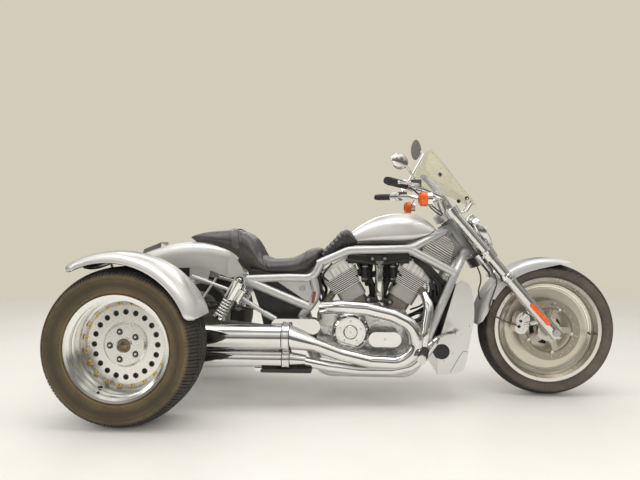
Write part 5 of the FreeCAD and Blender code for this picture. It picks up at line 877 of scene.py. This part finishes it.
def make_headlamp():
    """Hollow headlamp: round shell with its rim, faceted bowl, bulb shield and a thin bulging lens.

    The bowl's depth grows with the square of its radius and waves twelve times round."""
    shell_arc = arc((-0.066, 0.020), (-0.008, 0.098), 0.022, 14)
    rim = [(0.001, 0.0985), (0.004, 0.0965), (0.0045, 0.0935), (0.001, 0.092)]
    hollow = arc((0.001, 0.092), (-0.046, 0.018), -0.014, 12)[1:]
    profile = np.vstack([[(-0.066, 0.0)], shell_arc, rim, hollow, [(-0.046, 0.0)]])
    shell = turned(profile, LAMP_CENTRE, LAMP_WAY, 72)
    stay = rod((0.644, 0, 0.691), (0.612, 0, 0.756), 0.015)
    piece = make("lamp_shell", [shell, stay], shell_plating, "fork")
    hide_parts("headlamp")
    outer = arc((0.048, 0.0), (0.002, 0.0935), 0.0185, 22)
    inner = arc((0.002, 0.0905), (0.0452, 0.0), -0.0178, 22)
    lens = turned(np.vstack([outer, inner]), LAMP_CENTRE, LAMP_WAY, 72)
    piece = make("lamp_glass", [lens], clear_look, "fork")
    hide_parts("headlamp_lens")
    shield = turned([(0, 0), (0, 0.017), (0.010, 0.016), (0.016, 0.010), (0.018, 0)],
                    LAMP_CENTRE - 0.030 * LAMP_WAY, LAMP_WAY, 32)
    low, high = LAMP_CENTRE - 0.040 * LAMP_WAY, LAMP_CENTRE - 0.025 * LAMP_WAY
    legs = [rod(low + offset, high + offset * 0.6, 0.0022, 10)
            for offset in (np.array([0, 0.026, 0]), np.array([0, -0.026, 0]))]
    make("bulb_shield", [shield] + legs, polished, "fork")
    steps = np.linspace(0, 1, 9)[:, None]
    turn = np.linspace(0, 2 * math.pi, 25)[None]
    deep = -0.044 + 0.045 * steps ** 2 + 0.0012 * np.cos(12 * turn)
    wide = 0.019 + 0.071 * steps + 0 * turn
    side, up, way = (vectors[0] for vectors in axes_for(LAMP_WAY))
    ring = np.cos(turn)[..., None] * side + np.sin(turn)[..., None] * up
    bowl = LAMP_CENTRE + deep[..., None] * way + wide[..., None] * ring
    make("lamp_bowl", [surface(bowl)], bowl_look, "fork", crease=10)


def make_front_wheel_fittings():
    """Drilled holes and drive buttons of both rotors, a black ring of painted shade behind the hub openings,
    valve.
    """
    middle = (FRONT_AXLE[0], 0, FRONT_AXLE[2])
    hole = turned(slab(0, 0.0005, 0, 0.0044), steps=12)
    button = turned([(0, 0), (0, 0.0078), (0.002, 0.0078), (0.003, 0.0065), (0.003, 0.003), (0.0022, 0)],
                    steps=20)
    for side, sign in BOTH:
        face = sign * 0.0603
        out = (0, sign, 0)
        holes = np.vstack([round_places(middle, 0.1345, 20, face, 0.1),
                           round_places(middle, 0.1190, 20, face, 0.26)])
        buttons = round_places(middle, 0.1085, 5, face, math.radians(62))
        make(f"rotor_holes_{side}", [repeated(hole, holes, out)], pale_hole, "front_wheel")
        make(f"rotor_buttons_{side}", [repeated(button, buttons, out)], polished, "front_wheel")
    # Painted shade: a black ring inside the hub, so its openings look dark
    shade_ring = turned(slab(-0.001, 0.001, 0.052, 0.080), FRONT_AXLE, (0, 1, 0), 72, closed=True)
    make("hub_shade_ring", [shade_ring], black, "front_wheel")
    stem = rod((1.157, -0.010, 0.303), (1.155, -0.040, 0.304), 0.0036, 14)
    make("front_valve", [stem], rubber, "front_wheel")


def make_fork_fittings():
    """Reflectors, seals, caps, bolts, hoses and cables of the fork, signal lenses and screen fixings."""
    seal = [(0.326, 0), (0.326, 0.0300), (0.329, 0.0322), (0.342, 0.0322), (0.345, 0.0300), (0.345, 0.0270),
            (0.352, 0.0258), (0.352, 0)]
    cap = [(0.745, 0), (0.745, 0.0215), (0.753, 0.0215), (0.755, 0.0195), (0.755, 0.0120), (0.752, 0.0105),
           (0.752, 0)]
    lens = [(-0.037, 0), (-0.0365, 0.010), (-0.0345, 0.020), (-0.0305, 0.0275), (-0.0255, 0.0318),
            (-0.021, 0.0330), (0.002, 0.0330), (0.003, 0.0318), (0.003, 0)]
    clamp_spots = [(0.615, -0.15, 0.683), (0.632, -0.16, 0.701), (0.600, -0.14, 0.668)]
    caliper_spots = [(0.798, -0.20, 0.366), (0.814, -0.20, 0.385), (0.798, -0.20, 0.346),
                     (0.790, -0.20, 0.400), (0.824, -0.20, 0.350)]
    seals, caps, lenses, plates, bolts, pots = [], [], [], [], [], []
    for _, sign in BOTH:
        foot = (0.943, sign * 0.112, 0.329)
        seals.append(turned(seal, foot, LEG_WAY, 48))
        caps.append(turned(cap, foot, LEG_WAY, 36))
        lenses.append(turned(lens, (0.326, sign * 0.292, 0.946), (1, 0, 0), 40))
        plates.append(plaque(long_round((0.842, 0.455), (0.914, 0.371), 0.0105), sign * 0.1375, sign * 0.1460,
                             0.0014))
        bolts.append(repeated(socket_head(0.0062, 0.006), *seated("lower_clamp", clamp_spots, sign)))
        where, _ = seated("front_calipers", caliper_spots, sign)
        pots.append(repeated(socket_head(0.0068, 0.003), where, (0, sign, 0)))
    brake_hoses = [
        hose([(0.640, -0.072, 0.690), (0.671, -0.088, 0.615), (0.693, -0.090, 0.563), (0.678, -0.089, 0.504),
              (0.661, -0.088, 0.445), (0.676, -0.088, 0.405), (0.716, -0.088, 0.378), (0.788, -0.090, 0.352)],
             0.0034, 80),
        hose([(0.600, -0.020, 0.665), (0.628, -0.022, 0.605), (0.635, -0.022, 0.559), (0.624, -0.022, 0.505),
              (0.640, -0.020, 0.455), (0.690, -0.010, 0.440)], 0.0036, 60)]
    cables = [hose([(0.262, -0.300, 0.992), (0.320, -0.235, 0.952), (0.372, -0.160, 0.925 - lower),
                    (0.425, -0.100, 0.896 - lower), (0.470, -0.060, 0.872)], 0.0032, 60)
              for lower in (0.0, 0.014)]
    where, ways = seated("windscreen", [(0.402, -0.150, 1.069), (0.402, 0.150, 1.069), (0.560, -0.10, 0.97),
                                        (0.560, 0.10, 0.97)])
    grommet = turned([(-0.004, 0), (-0.004, 0.0095), (0.0035, 0.0095), (0.0048, 0.008), (0.0048, 0)])
    screw = turned([(0.003, 0), (0.003, 0.0052), (0.0062, 0.0048), (0.0072, 0.003), (0.0072, 0)], steps=18)
    make_all("fork", (
        ("caliper_bolts", pots, dark_steel),
        ("fork_seals", seals, chrome),
        ("fork_caps", caps, polished),
        ("clamp_bolts", bolts, chrome),
        ("fork_reflectors", plates, reflector_look),
        ("signal_lenses", lenses, reflector_look),
        ("brake_hoses", brake_hoses, hose_brown),
        ("control_cables", cables, rubber),
        ("screen_grommets", [repeated(grommet, where, ways)], rubber),
        ("screen_screws", [repeated(screw, where, ways)], chrome),
    ))


def make_engine_fittings():
    """Rings and bolts of the side covers, yoke and sleeve of the crossover pipe, hoses and wires.

    Hoses run on both sides; exhaust ports, intake runners and plugs are on the right, fans at the front."""
    cover_x, cover_z = CLUTCH_COVER[0], CLUTCH_COVER[2]
    rings = [turned([(0.0, 0.0605), (0.0028, 0.0612), (0.0028, 0.0650), (0.0, 0.0660)],
                    (cover_x, -0.2035, cover_z), (0, -1, 0), 72, closed=True),
             turned([(0.0, 0.0190), (0.0022, 0.0196), (0.0022, 0.0226), (0.0, 0.0232)],
                    (cover_x, -0.2115, cover_z), (0, -1, 0), 48, closed=True)]
    right = np.vstack([round_places(CLUTCH_COVER, 0.0500, 5, -0.2038, 0.3), [(cover_x, -0.2118, cover_z)],
                       [(0.149, -0.1955, 0.296)], round_places(CLUTCH_COVER, 0.0765, 8, -0.1975, 0.2)])
    left = np.vstack([round_places(CRANK, 0.0930, 7, 0.1715, 0.2), [(CRANK[0], 0.1795, CRANK[2])]])
    yoke = [plaque(long_round((0.093, 0.673), (0.153, 0.674), 0.012), -0.118, -0.131, 0.0015),
            rod((0.066, -0.104, 0.474), (0.186, -0.104, 0.462), 0.0135),
            rod((0.074, -0.085, 0.474), (0.074, -0.122, 0.474), 0.0150),
            rod((0.178, -0.085, 0.463), (0.178, -0.122, 0.463), 0.0150)]
    yoke_spots = [(0.093, -0.1305, 0.673), (0.153, -0.1305, 0.674), (0.074, -0.1215, 0.474),
                  (0.178, -0.1215, 0.463)]
    pipe_rings = [turned([(0.0, 0.0205), (0.003, 0.0232), (0.010, 0.0232), (0.013, 0.0205)],
                         (0.128, -0.096, tall), (0, 0, 1), 36, closed=True) for tall in (0.490, 0.630)]
    sleeve = turned([(0, 0), (0, 0.0178), (0.004, 0.0194), (0.118, 0.0194), (0.122, 0.0178), (0.122, 0)],
                    (0.127, -0.098, 0.503), (0.018, 0, 1), 44)
    ports = [hose([(0.330, -0.070, 0.520), (0.340, -0.110, 0.508), (0.3445, -0.130, 0.498),
                   (0.352, -0.158, 0.470)], 0.0190, 24, 24),
             hose([(-0.100, -0.060, 0.500), (-0.118, -0.120, 0.475), (-0.134, -0.165, 0.456),
                   (-0.146, -0.198, 0.444)], 0.0185, 24, 24)]
    runners, clips = [], []
    for x in (0.058, 0.196):
        runners += [rod((x, -0.078, 0.648), (x, -0.078, 0.556), 0.0165),
                    rod((x, -0.078, 0.612), (x, -0.078, 0.598), 0.0205),
                    rod((x, -0.090, 0.580), (x + 0.012, -0.060, 0.540), 0.0100)]
        clips += [turned(slab(0.0, 0.006, 0.0168, 0.0182), (x, -0.078, tall), (0, 0, 1), 30, closed=True)
                  for tall in (0.570, 0.630)]
    hoses = [hose(aside(points, sign), radius, 60) for sign in (1.0, -1.0) for radius, points in ENGINE_HOSES]
    plugs = [rod((0.370, -0.124, 0.560), (0.381, -0.124, 0.524), 0.0100, 16),
             rod((0.398, -0.122, 0.492), (0.394, -0.122, 0.462), 0.0085, 16),
             rod((-0.166, -0.130, 0.590), (-0.166, -0.130, 0.560), 0.0115, 16),
             rod((0.352, -0.112, 0.520), (0.340, -0.112, 0.495), 0.0090, 16)]
    fan = [(0, 0), (0, 0.078), (0.030, 0.078), (0.034, 0.072), (0.030, 0.068), (0.012, 0.066), (0.012, 0.026),
           (0.040, 0.024), (0.044, 0.018), (0.044, 0)]
    fans = [turned(fan, (x, 0, z), (-0.990, 0.0, 0.136), 48) for x, z in ((0.436, 0.470), (0.414, 0.310))]
    make_all("chassis", (
        ("cover_rings", rings, chrome),
        ("cover_bolts", [repeated(socket_head(0.0052, 0.0045), right, (0, -1, 0))], polished),
        ("left_cover_bolts", [repeated(socket_head(0.0058, 0.0055), left, (0, 1, 0))], polished),
        ("pipe_yoke", yoke, black),
        ("pipe_yoke_bolts", [repeated(hex_head(0.0085, 0.006), yoke_spots, (0, -1, 0))], satin),
        ("pipe_rings", pipe_rings, chrome),
        ("pipe_sleeve", [sleeve], chrome),
        ("exhaust_ports", ports, port_gold),
        ("intake_runners", runners, black),
        ("runner_clips", clips, satin),
        ("engine_hoses", hoses, rubber),
        ("wiring_plugs", plugs, black),
        ("radiator_fans", fans, black),
    ))


def make_frame_fittings():
    """End caps, trims, guards, bolts, locks, reflectors, ribbed pegs, skirts, muffler fittings and a black
    bar of painted shadow under the mufflers.
    """
    cap = turned([(-0.002, 0), (-0.002, 0.0235), (0.003, 0.0235), (0.0045, 0.0215), (0.0045, 0.0170),
                  (0.0030, 0.0155), (0.0030, 0)], steps=40)
    trim_way = [(0.005, -0.135, 0.742), (0.149, -0.142, 0.740), (0.249, -0.142, 0.741),
                (0.290, -0.138, 0.750), (0.335, -0.128, 0.775), (0.392, -0.110, 0.806)]
    split_way = [(0.543, -0.182, 0.240), (0.517, -0.186, 0.243), (0.504, -0.186, 0.234),
                 (0.479, -0.186, 0.191), (0.453, -0.186, 0.146)]
    frame_spots = [(0.443, -0.18, 0.517), (0.417, -0.18, 0.464), (0.274, -0.18, 0.721), (-0.02, -0.18, 0.713)]
    lock = [(0, 0), (0, 0.0150), (0.006, 0.0150), (0.008, 0.0130), (0.008, 0.0090), (0.0055, 0.0080),
            (0.0055, 0)]
    caps, trims, splits, guards, bolts, red, pegs, washers, locks, skirts = ([] for _ in range(10))
    for side, sign in BOTH:
        out = (0, sign, 0)
        where, _ = seated("steering_head", [(0.460, -0.078, 0.807)], sign)
        caps.append(repeated(cap, where, [out]))
        trims.append(seam_line("tank_cover", trim_way, sign, 0.0022))
        splits.append(seam_line("radiator_shroud", split_way, sign, 0.0011))
        guards.append(turned(slab(0, 0.004, 0, 0.0400), (0.414, sign * 0.1725, 0.241), out, 40))
        shock_ends = [(-0.530, sign * 0.2425, 0.574), (-0.640, sign * 0.2425, 0.384)]
        bolts.append(repeated(hex_head(0.0125, 0.009), shock_ends, out))
        washers.append(repeated(turned(slab(0, 0.0022, 0, 0.0180), steps=28), shock_ends, out))
        bolts.append(repeated(socket_head(0.0062, 0.005), *seated(f"frame_{side}", frame_spots, sign)))
        red.append(plaque(long_round((-0.1835, 0.512), (-0.1915, 0.468), 0.0072), sign * 0.1700,
                          sign * 0.1815, 0.0012))
        locks.append(turned(lock, (-0.241, sign * 0.1595, 0.530), out, 32))
        start = np.array([0.332, sign * 0.202, 0.258])
        way = unit(np.array([0.300, sign * 0.332, 0.236]) - start)
        pegs += [turned(slab(-0.0030, 0.0030, 0.0195, 0.0218), start + way * along, way, 32, closed=True)
                 for along in (0.030, 0.044, 0.058, 0.072, 0.086, 0.100, 0.114)]
        foot, _ = seated("tail_fender", [(-0.600, -0.30, 0.620)], sign)
        skirts.append(plaque(SKIRT, foot[0, 1] - sign * 0.004, foot[0, 1] - sign * 0.001))
    # Painted shadow: a black bar under the lower muffler
    shadow_bar = plaque(long_round((-0.4111, 0.1730), (-0.1944, 0.1730), 0.0075), -0.262, -0.316, 0.0015)

    def strap_rings(half, under, over, shift):
        """Pairs of rings round both mufflers, to either side of the strap's middle."""
        return [turned(slab(-half, half, radius - under, radius + over), (-0.304 + place, -0.285, level),
                       (1, 0, 0), 64, closed=True)
                for level, radius in ((0.320, 0.062), (0.222, 0.043)) for place in (-shift, shift)]

    make_all("chassis", (
        ("tail_skirts", skirts, pale_silver),
        ("muffler_shadow_bar", [shadow_bar], black),
        ("head_caps", caps, satin),
        ("tank_trim", trims, rubber),
        ("shroud_split", splits, black),
        ("shroud_guards", guards, black),
        ("shock_washers", washers, black),
        ("frame_bolts", bolts, chrome),
        ("leg_reflectors", red, dark_red),
        ("side_locks", locks, chrome),
        ("peg_ribs", pegs, rubber),
        ("strap_ribs", strap_rings(0.0035, 0.002, 0.0018, 0.0115), polished),
        ("strap_lines", strap_rings(0.0016, 0.001, 0.0022, 0.0175), black),
    ))


def evaluated_mesh(piece):
    """New mesh from a piece with its modifiers applied."""
    return bpy.data.meshes.new_from_object(piece.evaluated_get(bpy.context.evaluated_depsgraph_get()))


def cushion_mesh(node, name, cell):
    """Even quad skin over a node of the part, ready for the stuffing."""
    source = placed(f"{name}_source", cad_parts[node].data.copy())
    remesh = source.modifiers.new("skin", "REMESH")
    remesh.mode = "VOXEL"
    remesh.voxel_size = cell
    smooth = source.modifiers.new("ease", "SMOOTH")
    smooth.factor = 0.5
    smooth.iterations = 6
    mesh = evaluated_mesh(source)
    bpy.data.objects.remove(source)
    mesh.name = name
    return placed(name, mesh)


def coordinates(mesh):
    """All vertex places as an array."""
    places = np.empty(len(mesh.vertices) * 3, dtype=np.float32)
    mesh.vertices.foreach_get("co", places)
    return places.reshape(-1, 3).astype(float)


def normals(mesh):
    """All vertex normals as an array."""
    ways = np.empty(len(mesh.vertices) * 3, dtype=np.float32)
    mesh.vertex_normals.foreach_get("vector", ways)
    return ways.reshape(-1, 3).astype(float)


def set_coordinates(mesh, places):
    """Moves all vertices to an array of places."""
    mesh.vertices.foreach_set("co", places.astype(np.float32).ravel())
    mesh.update()


def stuff(piece, pressure, most):
    """Blows the skin up as a cloth from inside for twenty frames, no vertex moving further than the limit."""
    frames = 20
    before = coordinates(piece.data)
    cloth = piece.modifiers.new("stuffing", "CLOTH")
    cloth.settings.quality = 5
    cloth.settings.mass = 0.3
    cloth.settings.tension_stiffness = 18
    cloth.settings.compression_stiffness = 18
    cloth.settings.bending_stiffness = 0.6
    cloth.settings.use_pressure = True
    cloth.settings.uniform_pressure_force = pressure
    cloth.settings.effector_weights.gravity = 0.0
    cloth.point_cache.frame_start = 1
    cloth.point_cache.frame_end = frames
    scene = bpy.context.scene
    for step in range(1, frames + 1):
        scene.frame_set(step)
    mesh = evaluated_mesh(piece)
    after = coordinates(mesh)
    bpy.data.meshes.remove(mesh)
    piece.modifiers.remove(cloth)
    scene.frame_set(1)
    move = after - before
    reach = np.linalg.norm(move, axis=1, keepdims=True)
    set_coordinates(piece.data, before + move * np.minimum(1.0, most / np.maximum(reach, 1e-9)))


def subdivided(piece):
    """Replaces the mesh by its smooth subdivision, one level finer."""
    divide = piece.modifiers.new("finer", "SUBSURF")
    divide.levels = divide.render_levels = 1
    mesh = evaluated_mesh(piece)
    old = piece.data
    piece.modifiers.remove(divide)
    piece.data = mesh
    bpy.data.meshes.remove(old)


def seam_cut(distance, width, depth, welt):
    """Sewn seam across a skin: a narrow channel with a low round welt on each side."""
    channel = -depth * np.exp(-(distance / width) ** 2)
    return channel + welt * np.exp(-((np.abs(distance) - 2.2 * width) / (1.1 * width)) ** 2)


def leaning(degrees):
    """Way in the trike's middle plane that looks forward and up by the degrees."""
    turn = math.radians(degrees)
    return np.array([math.cos(turn), 0.0, math.sin(turn)])


def plane_distance(places, point, degrees):
    """Signed distance of each place from a plane through a point, square to a leaning way."""
    return (places - np.asarray(point, float)) @ unit(leaning(degrees))


def finish_cushion(piece, look, node):
    """Smooth shading, finish, hide and riding of a cushion that stands for a node."""
    mesh = piece.data
    smoothed(mesh)
    mesh.materials.clear()
    mesh.materials.append(look)
    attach(piece, "chassis")
    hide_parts(node)


def make_seat():
    """Saddle: stuffed skin with seams across and down both sides, pressed and raised along its normals."""
    strap_lean = 8
    piece = cushion_mesh("seat", "saddle", 0.007)
    stuff(piece, 4.0, 0.006)
    subdivided(piece)
    places, ways = coordinates(piece.data), normals(piece.data)
    strap = np.abs(plane_distance(places, (-0.574, 0, 0.79), strap_lean))
    push = 0.0042 * (1 / (1 + np.exp((strap - 0.016) / 0.0011))) + seam_cut(strap - 0.0185, 0.0020, 0.0040, 0)
    backrest = plane_distance(places, (-0.452, 0, 0.70), 24)
    push = push + seam_cut(backrest, 0.0038, 0.0055, 0.0022)
    nose = plane_distance(places, (-0.226, 0, 0.70), -22)
    push = push + seam_cut(nose, 0.0030, 0.0028, 0.0010) * (places[:, 0] > -0.3)
    rim = np.abs(ways[:, 2] - 0.12) / 0.35
    push = push + seam_cut(rim * 0.010, 0.0022, 0.0018, 0.0006) * (np.abs(places[:, 1]) > 0.05)
    ripple = np.sin(places[:, 0] * 230 + 6 * np.sin(places[:, 1] * 40))
    ripple = ripple * np.exp(-((backrest - 0.01) / 0.03) ** 2)
    on_top = np.clip(ways[:, 2] * 1.5 + 0.9, 0, 1)
    set_coordinates(piece.data, places + ways * (push * on_top + 0.0006 * ripple)[:, None])
    finish_cushion(piece, seat_leather, "seat")
    make_saddle_strap(piece, strap_lean)


def make_saddle_strap(saddle, lean):
    """Strap over the saddle: a half circle of points round it, laid on its surface and lifted off it."""
    bpy.context.view_layer.update()
    turn = np.linspace(0.02, math.pi - 0.02, 61)[None, :, None]
    across = np.array([-0.0205, -0.0190, -0.008, 0.008, 0.0190, 0.0205])[:, None, None]
    lift = np.array([-0.0015, 0.0042, 0.0052, 0.0052, 0.0042, -0.0015])[:, None, None]
    to_right, up = np.array([0.0, -1.0, 0.0]), leaning(lean + 90)
    spots = (np.array([-0.572, 0.0, 0.720]) + across * leaning(lean)
             + 0.20 * (np.cos(turn) * to_right + np.sin(turn) * up))
    base, out = (part.reshape(spots.shape) for part in nearest(saddle, spots.reshape(-1, 3)))
    out = unit(out)
    base = base * (0.0, 1.0, 1.0) + spots * (1.0, 0.0, 0.0)
    loop = np.concatenate([base + out * lift, (base - out * 0.004)[::-1]])
    ends = [np.broadcast_to(loop[:, row].mean(axis=0), (len(loop), 3))[:, None] for row in (0, -1)]
    loop = np.concatenate([ends[0], loop, ends[1]], axis=1)
    make("saddle_strap", [surface(loop, round_rows=True)], strap_leather, "chassis", crease=50)
    edges = [hose(base[row] + out[row] * 0.0018, 0.0019, 61, 6) for row in (0, 5)]
    make("strap_edges", edges, black, "chassis")


def make_bib():
    """Pleated leather bib over the tank's rear, its pleats fanning out from below its lower front corner."""
    piece = cushion_mesh("tank_bib", "pleated_bib", 0.0045)
    stuff(piece, 3.0, 0.004)
    subdivided(piece)
    places, ways = coordinates(piece.data), normals(piece.data)
    fan = np.arctan2(places[:, 2] - 0.560, places[:, 0] - 0.080)
    pleat = np.abs(np.sin(fan * 34)) ** 0.7
    side = np.clip((np.abs(places[:, 1]) - 0.02) / 0.02, 0, 1)
    set_coordinates(piece.data, places + ways * (0.0034 * (pleat - 0.75) * (0.35 + 0.65 * side))[:, None])
    finish_cushion(piece, bib_leather, "tank_bib")


def make_floor():
    """Pale floor that fades into the background a few metres out."""
    look, shader, where = new_look("pale_floor")
    marks = patches(look, where, 2.2, 6.0, 0.6, high=0.75)
    feed(look, shader, Base_Color=mixed(look, marks, (0.92, 0.905, 0.87), (0.87, 0.855, 0.815)),
         Roughness=spread(look, marks, 0.0, 1.0, 0.30, 0.42))
    direct = add(look, "ShaderNodeLightPath").outputs["Is Camera Ray"]
    glow = add(look, "ShaderNodeEmission", Color=mixed(look, direct, (0.20, 0.193, 0.168), BACKDROP),
               Strength=1.0)
    far = spread(look, vectors(look, "LENGTH", where), 2.6, 7.5, 0.0, 1.0)
    blend = add(look, "ShaderNodeMixShader", i0=far, i1=shader.outputs[0], i2=glow.outputs[0])
    put(look, look.node_tree.nodes["Material Output"].inputs["Surface"], blend.outputs[0])
    mesh = bpy.data.meshes.new("floor")
    mesh.from_pydata([(-30, -30, 0), (30, -30, 0), (30, 30, 0), (-30, 30, 0)], [], [(0, 1, 2, 3)])
    mesh.materials.append(look)
    placed("floor", mesh)


def make_sky():
    """Even light from all round, a banded sky that only reflections see, and the backdrop's own colour."""
    world = bpy.data.worlds.new("room")
    bpy.context.scene.world = world
    world.use_nodes = True
    world.node_tree.nodes.clear()
    way = add(world, "ShaderNodeTexCoord").outputs["Generated"]
    tall = add(world, "ShaderNodeSeparateXYZ", Vector=way).outputs["Z"]
    sky = mixed(world, spread(world, tall, 0.06, 0.30, 0.0, 1.0), (0.12, 0.117, 0.105), (0.52, 0.50, 0.44))
    sky = mixed(world, spread(world, tall, 0.42, 0.60, 0.0, 1.0), sky, (1.15, 1.14, 1.08))
    bands = add(world, "ShaderNodeTexNoise", Vector=way, Scale=2.3, Detail=1.0).outputs["Fac"]
    sky = mixed(world, spread(world, bands, 0.52, 0.60, 0.0, 0.7), sky, (0.05, 0.055, 0.05))
    rays = add(world, "ShaderNodeLightPath")
    even = mixed(world, rays.outputs["Is Glossy Ray"], (0.75, 0.735, 0.695), sky)
    seen = mixed(world, rays.outputs["Is Camera Ray"], even, BACKDROP)
    back = add(world, "ShaderNodeBackground", Color=seen, Strength=1.0)
    put(world, add(world, "ShaderNodeOutputWorld").inputs["Surface"], back.outputs[0])


def make_lamps():
    """Four soft lamps, each turned to the point it aims at; reflections leave out the front one."""
    for name, place, size, power, aim in (
            ("lamp_over", (-0.2, -0.6, 3.6), (4.5, 1.6), 55.0, (0, 0, 0.3)),
            ("lamp_front", (0.9, -4.4, 1.9), (3.4, 1.8), 62.0, (0.1, 0, 0.3)),
            ("lamp_back", (-1.0, 3.4, 2.6), (3.5, 0.8), 20.0, (0, 0, 0.4)),
            ("lamp_rear", (-3.6, -1.6, 1.8), (0.7, 1.8), 9.0, (-0.8, 0, 0.5))):
        light = bpy.data.lights.new(name, "AREA")
        light.shape = "RECTANGLE"
        light.size, light.size_y = size
        light.energy = power
        light.color = (1.0, 0.985, 0.95)
        lamp = placed(name, light)
        lamp.location = place
        way = np.asarray(aim, float) - np.asarray(place, float)
        tilt = math.atan2(math.hypot(way[0], way[1]), -way[2])
        lamp.rotation_euler = (tilt, 0, math.atan2(-way[0], way[1]))
        lamp.visible_glossy = name != "lamp_front"


def make_camera():
    """Camera at the photograph's place: level, a little turned to the rear wheel."""
    camera = bpy.data.cameras.new("camera")
    camera.lens = 27.45
    camera.sensor_width = 36.0
    eye = placed("camera", camera)
    eye.location = (-0.0154, -2.4953, 0.763)
    eye.rotation_euler = (math.pi / 2, 0, math.radians(3.5))
    bpy.context.scene.camera = eye


dress_nodes()
make_tyres()
make_rear_wheel_fittings()
make_front_wheel_fittings()
make_fork_fittings()
make_engine_fittings()
make_frame_fittings()
make_rear_fenders()
make_headlamp()
make_seat()
make_bib()
make_floor()
make_sky()
make_lamps()
make_camera()
bpy.context.scene.view_settings.view_transform = "Standard"
